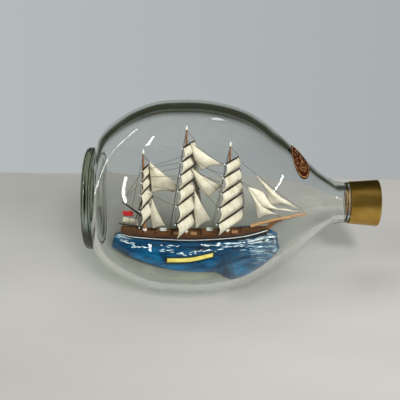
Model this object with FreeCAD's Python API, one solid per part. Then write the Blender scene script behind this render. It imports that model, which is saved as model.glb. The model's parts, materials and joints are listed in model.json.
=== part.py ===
import FreeCAD, Part
import math
import os

# A ship in a bottle: a three-sided glass bottle lying on one face, closed by a
# gold cap, with a full-rigged ship on a blue sea inside.
# Units are millimetres.  X runs along the bottle towards its neck, Y to the
# far side, Z up.  The origin is under the middle of the bottle, on the table.

V = FreeCAD.Vector

# ---------------------------------------------------------------- bottle sizes
HALF_LENGTH = 108.5
FOOT_RADIUS = 38.0
FOOT_THICKNESS = 8.0
FOOT_EDGE = 3.0
GROOVE_RADIUS = 35.5
WALL = 4.0
RING_STEPS = 36
SHARPNESS = 0.136
SKIN_CROWN = 0.1

# One row per ring of the body: distance along the bottle, radius at the three
# rounded corners, and radius in the middle of the three hollow faces.
BODY_RINGS = [
    (-101.5, 36.0, 36.0),
    (-100.0, 43.0, 37.4),
    (-97.0, 49.5, 38.8),
    (-92.0, 55.5, 40.4),
    (-84.0, 62.0, 42.0),
    (-72.0, 69.2, 43.2),
    (-56.0, 75.2, 43.5),
    (-40.0, 76.8, 43.5),
    (-24.0, 76.8, 43.5),
    (-8.0, 74.4, 44.0),
    (8.0, 69.4, 45.0),
    (20.0, 62.6, 45.2),
    (31.0, 53.8, 43.0),
    (41.0, 45.0, 38.4),
    (50.0, 36.6, 32.4),
    (59.0, 28.0, 26.0),
    (68.0, 20.6, 20.0),
    (76.0, 16.2, 16.2),
    (84.0, 14.7, 14.7),
]

BORE_RADIUS = 10.0
BORE_START = 74.0
LIP_RADIUS = 14.2
LIP_END = 104.0
LIP_ROUND = 1.6
BEAD_RADIUS = 0.9
BEAD_X = 84.6

# -------------------------------------------------------------- closure sizes
CAP_START = 86.5
CAP_NECK_RADIUS = 15.7
CAP_END_RADIUS = 17.5
CAP_WALL = 0.7
CAP_CROWN = 1.2
CAP_ROUND = 0.9
CORK_START = 84.0
CORK_CLEARANCE = 0.07
CORK_CHAMFER = 0.8
DISC_START = 104.4
DISC_THICKNESS = 2.2
DISC_CLEARANCE = 0.06

# ---------------------------------------------------------------- label sizes
LABEL_X = 46.5
LABEL_TURN = 18.0
LABEL_TILT = 20.0
LABEL_HALF_LENGTH = 14.5
LABEL_HALF_WIDTH = 8.5
LABEL_THICKNESS = 0.4

# ------------------------------------------------------------------ sea sizes
SEA_LEVEL = -33.0
SEA_GAP = 0.1
# distance along the bottle, half the sea's width, and its rise above SEA_LEVEL
SEA_RINGS = [
    (-91.0, 9.0, 3.2),
    (-80.0, 19.0, 1.4),
    (-64.0, 27.0, 0.0),
    (-40.0, 34.0, 0.0),
    (-12.0, 36.0, 0.0),
    (4.0, 46.0, 0.4),
    (17.0, 48.0, 1.6),
    (27.0, 41.0, 2.8),
    (33.0, 29.0, 2.4),
    (37.0, 14.0, 1.0),
]
SEA_SLOPE = [
    (0.0, 0.0),
    (0.3, -0.2),
    (0.52, -1.8),
    (0.72, -5.2),
    (0.88, -9.6),
    (1.0, -15.0),
]
SEA_UNDERSIDE = -58.0
# wave crests: place along and across the bottle, length, and turn in degrees
CRESTS = [
    (-78.0, -13.0, 9.0, -12.0),
    (-68.0, -15.5, 12.0, -6.0),
    (-56.0, -17.0, 11.0, 4.0),
    (-36.0, -25.0, 9.0, 4.0),
    (-30.0, -14.6, 10.0, 10.0),
    (-21.0, -12.6, 12.0, 8.0),
    (-9.0, -11.5, 9.0, -4.0),
    (2.0, -12.0, 12.0, 16.0),
    (8.0, -24.0, 12.0, 12.0),
    (12.0, -9.6, 9.0, 24.0),
    (21.0, -6.0, 9.0, 30.0),
    (-72.0, 14.0, 9.0, 10.0),
    (-48.0, 15.0, 14.0, 3.0),
    (-20.0, 17.0, 12.0, -6.0),
    (6.0, 13.0, 12.0, -18.0),
]
CREST_LIFT = 0.25

# ---------------------------------------------------- nameplate on the sea
PLATE_X = -30.5
PLATE_Y = -25.8
PLATE_Z = -37.9
PLATE_LENGTH = 36.0
PLATE_HEIGHT = 5.2
PLATE_BORDER = 0.7
PLATE_THICKNESS = 0.4
PLATE_SLOPE = 44.0
PLATE_TURN = 7.0

# ----------------------------------------------------------------- hull sizes
# distance along the bottle and half the hull's width at the rail
HULL_STATIONS = [
    (-84.0, 4.0),
    (-80.0, 5.5),
    (-70.0, 6.6),
    (-50.0, 7.0),
    (-20.0, 7.0),
    (0.0, 6.3),
    (12.0, 4.8),
    (21.0, 2.7),
    (28.0, 0.5),
]
HULL_MIDDLE = -36.0
KEEL_Z = -38.0
KEEL_SHARE = 0.62
WALE_Z = -31.8
STRIPE_HEIGHT = 0.6
DECK_Z = -29.6
DECK_THICKNESS = 0.4
RAIL_Z = -27.8
SHEER_BOW = 5.6
SHEER_STERN = 2.0
PLANK = 0.8
RAISED_DECK = 1.2
HOUSE_SINK = 0.3
DECK_ENDS = (-82.5, 24.9)
POOP_ENDS = (-82.4, -73.0)
FORECASTLE_ENDS = (9.0, 22.5)
# deckhouses: both ends along the ship, half the width, and height of the walls
HOUSES = [(-22.0, -10.5, 3.2, 2.6), (-57.0, -46.0, 3.0, 2.4)]
ROOF_THICKNESS = 0.5
ROOF_OVERHANG = 0.4
HATCH_PLACES = (-28.5, -41.5, 3.6)
HATCH_HEIGHT = 0.9
# pairs of boats: place along the ship, and height of the walls they stand over
BOATS = [(-16.2, 2.6), (-51.5, 2.4)]
BOAT_SPREAD = 1.7
BOAT_LIFT = 1.12
WHEEL_X = -76.0
CAPSTAN_X = 12.5
BITTS_PLACES = (-44.8, 7.2)
BITTS_SPREAD = 3.4

# ---------------------------------------------------------------- spar sizes
# mast name: place along the bottle, truck height, brace angle, yard heights,
# yard lengths (top yard first)
MASTS = {
    "fore": (-2.5, 44.0, 33.0, [33.0, 22.5, 11.0, 0.5, -12.0], [20.0, 24.0, 28.0, 34.0, 38.0]),
    "main": (-34.5, 56.0, 27.0, [45.0, 34.5, 24.5, 13.5, 2.5, -12.0],
             [19.0, 23.0, 27.0, 32.0, 37.0, 40.0]),
    "mizzen": (-66.0, 37.0, 17.0, [26.0, 17.0, 8.0, -3.5, -17.0], [16.0, 19.0, 23.0, 28.0, 30.0]),
}
MAST_RADIUS = 1.25
LOWER_MAST_TOP = -2.0
TRUCK_RADIUS = 0.6
TIP_LENGTH = 3.0
TIP_RADIUS = 0.85
BAND_HEIGHT = 1.6
BAND_DEPTH = 0.35
YARD_RADIUS = 0.65
YARD_END_RADIUS = 0.45
YARD_GAP = 0.15
BEAD_SIZE = 0.5
THREAD_RADIUS = 0.15
THREAD_OFFCUT = 0.1
CREST_OFFCUT = 0.5
WOOD_OFFCUT = 0.5
SAIL_OFFCUT = 5.0
DECK_PLAY = 0.02
# shrouds on each side of a mast: how many, where the first meets the rail
# behind the mast, and the space between their feet
SHROUDS = 4
SHROUD_START = 3.2
SHROUD_SPACE = 2.0
BACKSTAY_REACH = 12.5
# braces: mast of the yards, mast they lead to, and height of the top one's end
BRACES = [("main", "mizzen", 30.0), ("fore", "main", 42.0)]
BRACE_DROP = 6.0
HINGE_HEIGHT = 0.9
HINGE_RADIUS = 0.25
BOWSPRIT_HEEL = (15.0, -21.7)
BOWSPRIT_TIP = (55.0, -10.0)
BOWSPRIT_RADIUS = 1.5
BOWSPRIT_END_RADIUS = 1.0
GAFF_RADIUS = 0.75
GAFF_END_RADIUS = 0.5
GAFF_THROAT = (-67.8, -13.6)
GAFF_PEAK = (-82.0, -2.6)
BOOM_HEEL = (-67.8, -24.2)
BOOM_END = (-85.5, -21.6)

# ----------------------------------------------------------------- sail sizes
SAIL_THICKNESS = 0.35
SAIL_FULLNESS = 0.30
SAIL_WIDTH_SHARE = 0.90
SAIL_GAP = 0.25
EDGE_FULLNESS = 0.6
SAIL_NAMES = {
    "fore": ["fore_royal", "fore_topgallant", "fore_upper_topsail", "fore_lower_topsail",
             "fore_course"],
    "main": ["main_skysail", "main_royal", "main_topgallant", "main_upper_topsail",
             "main_lower_topsail", "main_course"],
    "mizzen": ["mizzen_royal", "mizzen_topgallant", "mizzen_upper_topsail",
               "mizzen_lower_topsail"],
}
COURSE_FOOT = {"fore": -22.5, "main": -25.0}

# Each stay: its place across the ship, its upper end, its lower end, and the
# corners of the sail set on it, all as (distance along, height); the first two
# corners are on the stay.
STAYSAILS = {
    "mizzen_upper_staysail": (0.0, (-65.4, 33.4), (-35.6, 5.6),
                              [(-61.5, 29.7), (-42.0, 11.5), (-43.0, 5.6), (-59.6, 5.2)]),
    "mizzen_lower_staysail": (0.0, (-63.4, 8.4), (-47.8, -26.6),
                              [(-60.0, 0.7), (-49.6, -22.6), (-59.6, -25.0)]),
    "main_upper_staysail": (0.0, (-33.8, 47.4), (-3.6, 25.6),
                            [(-31.6, 45.8), (-7.2, 28.2), (-23.6, 23.8)]),
    "main_middle_staysail": (0.0, (-32.0, 25.8), (-3.6, 8.6),
                             [(-30.4, 24.8), (-7.8, 11.2), (-17.2, 1.8)]),
    "main_lower_staysail": (0.0, (-31.6, 13.6), (-12.4, -20.6),
                            [(-28.2, 7.5), (-14.6, -16.7), (-26.8, -24.2)]),
    "outer_jib": (0.8, (-1.8, 36.8), (54.0, -9.4), [(18.0, 20.4), (50.4, -6.4), (29.5, -3.4)]),
    "middle_jib": (0.0, (0.2, 18.6), (51.0, -10.4), [(10.8, 12.4), (47.6, -8.5), (25.9, -8.4)]),
    "inner_jib": (-0.8, (0.2, 20.2), (37.0, -14.2), [(11.2, 9.9), (34.8, -12.2), (20.6, -15.4)]),
}
LUFF_GAP = 0.35
SPANKER = [(-70.6, -16.8), (-81.4, -15.2), (-83.0, -20.4), (-70.6, -22.2)]
FLAG = [(-74.0, -14.8), (-74.0, -10.6), (-82.0, -9.8), (-82.0, -14.0)]
FLAG_THICKNESS = 0.3


def profile_height(ridge, face):
    """How far the ring's lowest point lies below the bottle's axis."""
    lowest = 0.0
    for step in range(720):
        angle = math.radians(step / 2)
        lowest = min(lowest, ring_radius(ridge, face, angle) * math.cos(angle))
    return -lowest


def ring_radius(ridge, face, angle):
    """Radius of the three-sided ring; angle 0 is the top corner."""
    swing = (ridge - face) / 2
    mean = (ridge + face) / 2 - SHARPNESS * swing
    return mean + swing * (math.cos(3 * angle) + SHARPNESS * math.cos(6 * angle))


AXIS_Z = max(profile_height(ridge, face) for _, ridge, face in BODY_RINGS) + SKIN_CROWN


def at(x, y, z):
    """A point given from the bottle's axis."""
    return V(x, y, z + AXIS_Z)


def save(name, *shapes):
    """Write one node; several solids go in as one compound."""
    solids = [solid for shape in shapes for solid in shape.Solids]
    for solid in solids:
        if not solid.isValid() or not solid.isClosed():
            print("CHECK", name, "has a solid that is not valid")
    result = solids[0] if len(solids) == 1 else Part.makeCompound(solids)
    result.exportStep("parts/" + name + ".step")
    print(name, len(solids), round(sum(solid.Volume for solid in solids), 2))


# ------------------------------------------------------------ shape functions
def value_between(table, place, column=1):
    """Read a table's column at a place, with straight lines between its rows."""
    for low, high in zip(table, table[1:]):
        if low[0] <= place <= high[0]:
            share = (place - low[0]) / (high[0] - low[0])
            return low[column] + (high[column] - low[column]) * share
    return table[-1][column]


def ring_wire(x, ridge, face):
    """The closed three-sided ring at one place along the bottle."""
    points = []
    for step in range(RING_STEPS):
        angle = 2 * math.pi * step / RING_STEPS
        radius = ring_radius(ridge, face, angle)
        points.append(at(x, radius * math.sin(angle), radius * math.cos(angle)))
    curve = Part.BSplineCurve()
    curve.interpolate(points, PeriodicFlag=True)
    return Part.Wire(curve.toShape())


def ring_loft(rings):
    return Part.makeLoft([ring_wire(*ring) for ring in rings], True, False)


def moved_rings(rings, offset):
    """The rings moved along the surface's slope, outward for a positive offset."""
    result = []
    for index, (x, ridge, face) in enumerate(rings):
        before = rings[max(index - 1, 0)]
        after = rings[min(index + 1, len(rings) - 1)]
        run = after[0] - before[0]
        rise = (after[1] + after[2] - before[1] - before[2]) / 2
        length = math.hypot(run, rise)
        step_x = -offset * rise / length
        step_r = offset * run / length
        result.append((x + step_x, ridge + step_r, face + step_r))
    return result


def rounded_disc(start, end, radius, edge):
    """A disc about the bottle's axis with both rims rounded."""
    disc = Part.makeCylinder(radius, end - start, at(start, 0, 0), V(1, 0, 0))
    rims = [item for item in disc.Edges if item.Closed]
    return disc.makeFillet(edge, rims)


def rod(start, end, radius, end_radius=None):
    """A round or tapered rod between two points."""
    direction = end - start
    if end_radius is None or abs(end_radius - radius) < 1e-6:
        return Part.makeCylinder(radius, direction.Length, start, direction)
    return Part.makeCone(radius, end_radius, direction.Length, start, direction)


def box(x_range, y_range, z_range):
    corner = at(x_range[0], y_range[0], z_range[0])
    return Part.makeBox(x_range[1] - x_range[0], y_range[1] - y_range[0],
                        z_range[1] - z_range[0], corner)


# --------------------------------------------------------------------- bottle
INNER_RINGS = moved_rings(BODY_RINGS[:-2], -WALL) + [
    (78.0, BORE_RADIUS + 0.8, BORE_RADIUS + 0.8),
    (BORE_START + 10.0, BORE_RADIUS - 0.8, BORE_RADIUS - 0.8),
]


def make_foot():
    """The round foot that the bottle stands on when it is upright."""
    start = -HALF_LENGTH
    disc = rounded_disc(start, start + FOOT_THICKNESS, FOOT_RADIUS, FOOT_EDGE)
    neck_length = BODY_RINGS[0][0] - start + 0.5
    groove = Part.makeCylinder(GROOVE_RADIUS, neck_length, at(start + 2, 0, 0), V(1, 0, 0))
    return disc.fuse(groove)


def make_finish():
    """The neck's end, which the cap covers, with a bead below the cap."""
    last = BODY_RINGS[-1]
    tube = Part.makeCylinder(LIP_RADIUS, LIP_END - last[0] + 2, at(last[0] - 2, 0, 0), V(1, 0, 0))
    rim = [item for item in tube.Edges if item.Closed and item.CenterOfMass.x > LIP_END - 1]
    tube = tube.makeFillet(LIP_ROUND, rim)
    bead = Part.makeTorus(last[1] - 0.3, BEAD_RADIUS, at(BEAD_X, 0, 0), V(1, 0, 0))
    return tube.fuse(bead)


def make_bottle():
    outside = ring_loft(BODY_RINGS).fuse([make_foot(), make_finish()])
    bore_length = LIP_END + 1 - BORE_START
    bore = Part.makeCylinder(BORE_RADIUS, bore_length, at(BORE_START, 0, 0), V(1, 0, 0))
    return outside.cut(ring_loft(INNER_RINGS)).cut(bore)


def make_label():
    """The oval paper label on the upper shoulder."""
    skin = ring_loft(moved_rings(BODY_RINGS, LABEL_THICKNESS)).cut(ring_loft(BODY_RINGS))
    oval = Part.Ellipse(V(0, 0, 0), LABEL_HALF_LENGTH, LABEL_HALF_WIDTH).toShape()
    prism = Part.Face(Part.Wire(oval)).extrude(V(0, 0, 60))
    prism.rotate(V(0, 0, 0), V(0, 0, 1), 90 + LABEL_TILT)
    prism.rotate(V(0, 0, 0), V(0, 1, 0), 35)
    prism.rotate(V(0, 0, 0), V(1, 0, 0), LABEL_TURN)
    prism.translate(at(LABEL_X - 20, 0, 8))
    return skin.common(prism)


# -------------------------------------------------------------------- closure
def cap_radius(x):
    """Outer radius of the cap, which widens from the neck to its end."""
    share = (x - CAP_START) / (HALF_LENGTH - CAP_START)
    return CAP_NECK_RADIUS + (CAP_END_RADIUS - CAP_NECK_RADIUS) * share


def make_cap():
    end = HALF_LENGTH
    outer_cone = rod(at(CAP_START, 0, 0), at(end, 0, 0), cap_radius(CAP_START), cap_radius(end))
    rims = [item for item in outer_cone.Edges if item.Closed and item.CenterOfMass.x > end - 0.1]
    outer_cone = outer_cone.makeFillet(CAP_ROUND, rims)
    inside_end = end - CAP_CROWN
    inside = rod(at(CAP_START - 1, 0, 0), at(inside_end, 0, 0),
                 cap_radius(CAP_START - 1) - CAP_WALL, cap_radius(inside_end) - CAP_WALL)
    return outer_cone.cut(inside)


def make_stopper_disc():
    """The disc that the cap is crimped over and turns on."""
    end = DISC_START + DISC_THICKNESS
    return rod(at(DISC_START, 0, 0), at(end, 0, 0),
               cap_radius(DISC_START) - CAP_WALL - DISC_CLEARANCE,
               cap_radius(end) - CAP_WALL - DISC_CLEARANCE)


def make_cork():
    cork = Part.makeCylinder(BORE_RADIUS - CORK_CLEARANCE, DISC_START - CORK_START,
                             at(CORK_START, 0, 0), V(1, 0, 0))
    inner_rim = [item for item in cork.Edges if item.Closed and item.CenterOfMass.x < CORK_START + 1]
    return cork.makeChamfer(CORK_CHAMFER, inner_rim)


# ------------------------------------------------------------------------ sea
def sea_profile(x, half_width, rise):
    """Cross-section of the putty sea: a mound with sloping sides."""
    level = SEA_LEVEL + rise
    right = [at(x, share * half_width, level + drop) for share, drop in SEA_SLOPE]
    left = [at(x, -share * half_width, level + drop) for share, drop in SEA_SLOPE[:0:-1]]
    curve = Part.BSplineCurve()
    curve.interpolate(left + right)
    top = curve.toShape()
    base = Part.makePolygon([right[-1], at(x, half_width, SEA_UNDERSIDE),
                             at(x, -half_width, SEA_UNDERSIDE), left[0]])
    return Part.Wire([top] + base.Edges)


def make_sea(hull_parts):
    mound = Part.makeLoft([sea_profile(*ring) for ring in SEA_RINGS], True, False)
    cavity = ring_loft(moved_rings(INNER_RINGS, -SEA_GAP))
    return mound.common(cavity).cut(hull_parts)


# ----------------------------------------------------------------------- hull
def sheer(x):
    """Rise of the ship's long lines towards her bow and stern."""
    if x > HULL_MIDDLE:
        return SHEER_BOW * ((x - HULL_MIDDLE) / (HULL_STATIONS[-1][0] - HULL_MIDDLE)) ** 2
    return SHEER_STERN * ((x - HULL_MIDDLE) / (HULL_STATIONS[0][0] - HULL_MIDDLE)) ** 2


def half_width(full, low_share, height):
    """Half the hull's width at a height between the keel and the rail."""
    share = (height - KEEL_Z) / (RAIL_Z - KEEL_Z)
    return full * (low_share + (1 - low_share) * math.sin(share * math.pi / 2))


def hull_layer(bottom, top, inset=0.0, stations=None, flat_bottom=False):
    """A slice of the hull between two heights that follow the sheer."""
    wires = []
    for x, full in stations or HULL_STATIONS:
        low_width = max(half_width(full, KEEL_SHARE, bottom) - inset, 0.12)
        high_width = max(half_width(full, KEEL_SHARE, top) - inset, 0.12)
        low = bottom if flat_bottom else bottom + sheer(x)
        high = top + sheer(x)
        corners = [at(x, -low_width, low), at(x, low_width, low),
                   at(x, high_width, high), at(x, -high_width, high)]
        wires.append(Part.makePolygon(corners + corners[:1]))
    return Part.makeLoft(wires, True, False)


def stations_between(start, end):
    """The hull's stations cut to a shorter stretch, with widths worked out between."""
    inner = [item for item in HULL_STATIONS if start < item[0] < end]
    first = (start, value_between(HULL_STATIONS, start))
    last = (end, value_between(HULL_STATIONS, end))
    return [first] + inner + [last]


def deck_top(x):
    return DECK_Z + DECK_THICKNESS + sheer(x)


def make_topsides():
    """Brown upper hull: solid up to the deck, with thin bulwarks above it."""
    block = hull_layer(WALE_Z + STRIPE_HEIGHT, RAIL_Z)
    well_ends = (DECK_ENDS[0] - 0.1, DECK_ENDS[1] + 0.1)
    well = hull_layer(DECK_Z, RAIL_Z + 1.5, PLANK, stations_between(*well_ends))
    return block.cut(well)


def make_deck():
    return hull_layer(DECK_Z, DECK_Z + DECK_THICKNESS, PLANK + DECK_PLAY,
                      stations_between(*DECK_ENDS))


def make_raised_decks(topsides):
    """Poop and forecastle, inside the bulwarks."""
    level = DECK_Z + DECK_THICKNESS
    poop = hull_layer(level, level + RAISED_DECK, PLANK, stations_between(*POOP_ENDS))
    forecastle = hull_layer(level, level + RAISED_DECK, PLANK, stations_between(*FORECASTLE_ENDS))
    return trimmed([poop, forecastle], [topsides], WOOD_OFFCUT)


def below_deck():
    """Everything under the deck's surface, to shape the feet of what stands on it."""
    return hull_layer(WALE_Z, DECK_Z + DECK_THICKNESS + DECK_PLAY, PLANK,
                      stations_between(*DECK_ENDS))


def make_stem_knee():
    """The curved knee that carries the ship's head out under the bowsprit."""
    start = HULL_STATIONS[-1][0] + 0.05
    front = Part.Arc(at(start, -0.5, -31.0), at(30.6, -0.5, -23.4), at(38.6, -0.5, -17.0)).toShape()
    back = Part.makePolygon([at(38.6, -0.5, -17.0), at(38.6, -0.5, -16.4), at(29.4, -0.5, -19.3),
                             at(start, -0.5, -20.4), at(start, -0.5, -31.0)])
    face = Part.Face(Part.Wire([front] + back.Edges))
    return face.extrude(V(0, 1.0, 0))


def house(x_start, x_end, half, height):
    """A deckhouse with an overhanging roof, standing on the deck."""
    floor = deck_top((x_start + x_end) / 2)
    walls = box((x_start, x_end), (-half, half), (floor - HOUSE_SINK, floor + height))
    uprights = [item for item in walls.Edges
                if abs(item.Vertexes[0].Point.z - item.Vertexes[1].Point.z) > height / 2]
    walls = walls.makeFillet(0.4, uprights)
    roof = box((x_start - ROOF_OVERHANG, x_end + ROOF_OVERHANG),
               (-half - ROOF_OVERHANG, half + ROOF_OVERHANG),
               (floor + height, floor + height + ROOF_THICKNESS))
    roof = roof.makeFillet(0.2, roof.Edges)
    return [walls, roof]


def make_deckhouses():
    houses = [solid for sizes in HOUSES for solid in house(*sizes)]
    return trimmed(houses, [below_deck()], WOOD_OFFCUT)


def make_hatches():
    hatches = []
    for x in HATCH_PLACES:
        floor = deck_top(x)
        hatch = box((x - 2.2, x + 2.2), (-2.0, 2.0), (floor - HOUSE_SINK, floor + HATCH_HEIGHT))
        hatches.append(hatch.makeChamfer(0.25, hatch.Edges))
    return trimmed(hatches, [below_deck()], WOOD_OFFCUT)


def boat(x, y, z):
    """A small open boat: a rounded hull with a hollow."""
    ball = Part.makeSphere(1.0)
    grow = FreeCAD.Matrix()
    grow.scale(3.0, 1.0, 1.1)
    outside = ball.transformGeometry(grow)
    grow = FreeCAD.Matrix()
    grow.scale(2.6, 0.75, 0.8)
    inside = ball.transformGeometry(grow)
    lower_half = Part.makeBox(8, 4, 2, V(-4, -2, -2))
    shell = outside.common(lower_half).cut(inside)
    shell.translate(at(x, y, z))
    return shell


def make_lifeboats():
    boats = []
    for x, walls in BOATS:
        roof_top = deck_top(x) + walls + ROOF_THICKNESS
        boats += [boat(x, side * BOAT_SPREAD, roof_top + BOAT_LIFT) for side in (-1, 1)]
    return boats


def make_deck_fittings():
    """Wheel, capstan and bitts."""
    poop_top = DECK_Z + DECK_THICKNESS + RAISED_DECK + 0.08
    floor = poop_top + sheer(WHEEL_X)
    post = rod(at(WHEEL_X, 0, floor), at(WHEEL_X, 0, floor + 1.3), 0.35)
    wheel = Part.makeTorus(0.75, 0.15, at(WHEEL_X - 0.6, 0, floor + 0.95), V(1, 0, 0))
    floor = poop_top + sheer(CAPSTAN_X)
    drum = rod(at(CAPSTAN_X, 0, floor), at(CAPSTAN_X, 0, floor + 1.5), 0.85, 0.6)
    head = rod(at(CAPSTAN_X, 0, floor + 1.5), at(CAPSTAN_X, 0, floor + 1.9), 0.95)
    bitts = []
    for x in BITTS_PLACES:
        floor = deck_top(x) + 0.1
        bitts += [rod(at(x, side * BITTS_SPREAD, floor), at(x, side * BITTS_SPREAD, floor + 1.3), 0.4)
                  for side in (-1, 1)]
    return [post, wheel, drum, head] + bitts


# ---------------------------------------------------------------------- spars
def mast_radius(name, z):
    """Radius of a mast at a height: straight below, tapered above."""
    truck = MASTS[name][1]
    if z <= LOWER_MAST_TOP:
        return MAST_RADIUS
    return MAST_RADIUS + (TRUCK_RADIUS - MAST_RADIUS) * (z - LOWER_MAST_TOP) / (truck - LOWER_MAST_TOP)


def make_mast(name):
    x, truck = MASTS[name][:2]
    foot = deck_top(x) + 0.1
    lower = rod(at(x, 0, foot), at(x, 0, LOWER_MAST_TOP), MAST_RADIUS)
    upper = rod(at(x, 0, LOWER_MAST_TOP), at(x, 0, truck), MAST_RADIUS, TRUCK_RADIUS)
    return lower.fuse(upper).cut(hinge_pin(name))


def hinge_pin(name):
    x = MASTS[name][0]
    height = deck_top(x) + HINGE_HEIGHT
    return rod(at(x, -2.2, height), at(x, 2.2, height), HINGE_RADIUS)


def make_hinge_wires():
    """Wire staples on which the masts fold back to pass the neck."""
    wires = []
    for name in MASTS:
        x = MASTS[name][0]
        floor = deck_top(x) + 0.1
        top = deck_top(x) + HINGE_HEIGHT
        legs = [rod(at(x, side * 2.0, floor), at(x, side * 2.0, top), HINGE_RADIUS)
                for side in (-1, 1)]
        wires.append(hinge_pin(name).fuse(legs))
    return wires


def make_mast_tips():
    tips = []
    for x, truck, *_ in MASTS.values():
        tips.append(rod(at(x, 0, truck), at(x, 0, truck + TIP_LENGTH), TIP_RADIUS, TIP_RADIUS * 0.6))
    return tips


def make_mast_bands():
    """White collars where the lower masts end, and at the deck."""
    bands = []
    for name, (x, *_) in MASTS.items():
        for height in (LOWER_MAST_TOP - 2.4, deck_top(x) + 2.0):
            ring = rod(at(x, 0, height), at(x, 0, height + BAND_HEIGHT), MAST_RADIUS + BAND_DEPTH)
            hole = rod(at(x, 0, height - 1), at(x, 0, height + BAND_HEIGHT + 1), MAST_RADIUS)
            bands.append(ring.cut(hole))
    return bands


def yard_frame(name, z):
    """A yard's middle point, and the directions along it and towards the bow."""
    x = MASTS[name][0]
    brace = math.radians(MASTS[name][2])
    along = V(math.sin(brace), math.cos(brace), 0)
    forward = V(math.cos(brace), -math.sin(brace), 0)
    reach = MAST_RADIUS + YARD_GAP + YARD_RADIUS
    return at(x, 0, z) + forward * reach, along, forward


def make_yards(name):
    yards = []
    for z, length in zip(MASTS[name][3], MASTS[name][4]):
        middle, along, _ = yard_frame(name, z)
        halves = [rod(middle, middle + along * (side * length / 2), YARD_RADIUS, YARD_END_RADIUS)
                  for side in (-1, 1)]
        yards.append(halves[0].fuse(halves[1]))
    return yards


def yard_end(name, index, side):
    """Centre of the bead on one end of a yard."""
    middle, along, _ = yard_frame(name, MASTS[name][3][index])
    return middle + along * (side * (MASTS[name][4][index] / 2 + BEAD_SIZE))


def make_yard_beads():
    return [Part.makeSphere(BEAD_SIZE, yard_end(name, index, side))
            for name in MASTS for index in range(len(MASTS[name][3])) for side in (-1, 1)]


def profile_rod(start, end, radius, end_radius):
    """A spar in the ship's middle plane, from (distance along, height) pairs."""
    return rod(at(start[0], 0, start[1]), at(end[0], 0, end[1]), radius, end_radius)


# ---------------------------------------------------------------------- sails
def sail_section(name, head_z, foot_z, head_width, foot_width, side, fullness):
    """The sail's curved section at one place along its yard."""
    head, along, forward = yard_frame(name, head_z)
    foot = yard_frame(name, foot_z)[0]
    head_point = head + along * (side * head_width / 2)
    foot_point = foot + along * (side * foot_width / 2)
    belly = (head_point + foot_point) * 0.5 + forward * fullness
    skin = forward * SAIL_THICKNESS
    front = Part.Arc(head_point + skin, belly + skin, foot_point + skin).toShape()
    back = Part.Arc(head_point, belly, foot_point).toShape()
    ends = [Part.makeLine(head_point, head_point + skin), Part.makeLine(foot_point, foot_point + skin)]
    return Part.Wire(Part.__sortEdges__([back, ends[1], front, ends[0]]))


def make_square_sail(name, index):
    heights, lengths = MASTS[name][3:]
    head_z = heights[index] - YARD_RADIUS - SAIL_GAP
    if index + 1 < len(heights):
        foot_z = heights[index + 1] + YARD_RADIUS + SAIL_GAP
        foot_length = lengths[index + 1]
    else:
        foot_z = COURSE_FOOT[name]
        foot_length = lengths[index]
    head_width = lengths[index] * SAIL_WIDTH_SHARE
    foot_width = foot_length * SAIL_WIDTH_SHARE
    fullness = (head_z - foot_z) * SAIL_FULLNESS
    wires = [sail_section(name, head_z, foot_z, head_width, foot_width, side,
                          fullness * (1 if side == 0 else EDGE_FULLNESS))
             for side in (-1, 0, 1)]
    return Part.makeLoft(wires, True, False)


def flat_sheet(corners, thickness, y=0.0):
    """A flat upright sheet along the ship, from (distance along, height) corners."""
    points = [at(x, y - thickness / 2, z) for x, z in corners]
    face = Part.Face(Part.makePolygon(points + points[:1]))
    return face.extrude(V(0, thickness, 0))


def make_staysail(name):
    """A sail under its stay: its first two corners lie on the stay."""
    y, upper, lower, corners = STAYSAILS[name]
    slope = V(lower[0] - upper[0], 0, lower[1] - upper[1]).normalize()
    inward = V(slope.z, 0, -slope.x)
    gap = THREAD_RADIUS + LUFF_GAP
    moved = []
    for x, z in corners[:2]:
        on_stay = V(upper[0], 0, upper[1])
        reach = (V(x, 0, z) - on_stay).dot(slope)
        point = on_stay + slope * reach + inward * gap
        moved.append((point.x, point.z))
    return flat_sheet(moved + corners[2:], SAIL_THICKNESS, y)


# -------------------------------------------------------------------- rigging
def thread(start, end):
    return rod(start, end, THREAD_RADIUS)


def trimmed(items, solids, smallest):
    """Items cut where they meet the solids, without the offcuts below a volume."""
    pieces = []
    for item in items:
        nearby = [solid for solid in solids if solid.BoundBox.intersect(item.BoundBox)]
        rest = item.cut(nearby) if nearby else item
        pieces += [solid for solid in rest.Solids if solid.Volume > smallest]
    return pieces


def rail_top(x, side):
    """The middle of a bulwark's top edge, where a thread ends."""
    return at(x, side * (value_between(HULL_STATIONS, x) - PLANK / 2), RAIL_Z + sheer(x) + THREAD_RADIUS)


def make_standing_rigging():
    """Stays in the middle plane, shrouds and backstays to the rails."""
    threads = [thread(at(upper[0], y, upper[1]), at(lower[0], y, lower[1]))
               for y, upper, lower, _ in STAYSAILS.values()]
    threads.append(thread(at(30.6, 0, -22.4), at(50.0, 0, -12.2)))
    for name, (x, truck, *_) in MASTS.items():
        for side in (-1, 1):
            for count in range(SHROUDS):
                foot = rail_top(x - SHROUD_START - SHROUD_SPACE * count, side)
                threads.append(thread(at(x - 0.9, side * 0.9, LOWER_MAST_TOP + 1.0 + 0.5 * count), foot))
            foot = rail_top(x - BACKSTAY_REACH, side)
            threads.append(thread(at(x - 0.5, side * 0.5, truck - 4.0), foot))
    return threads


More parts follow.
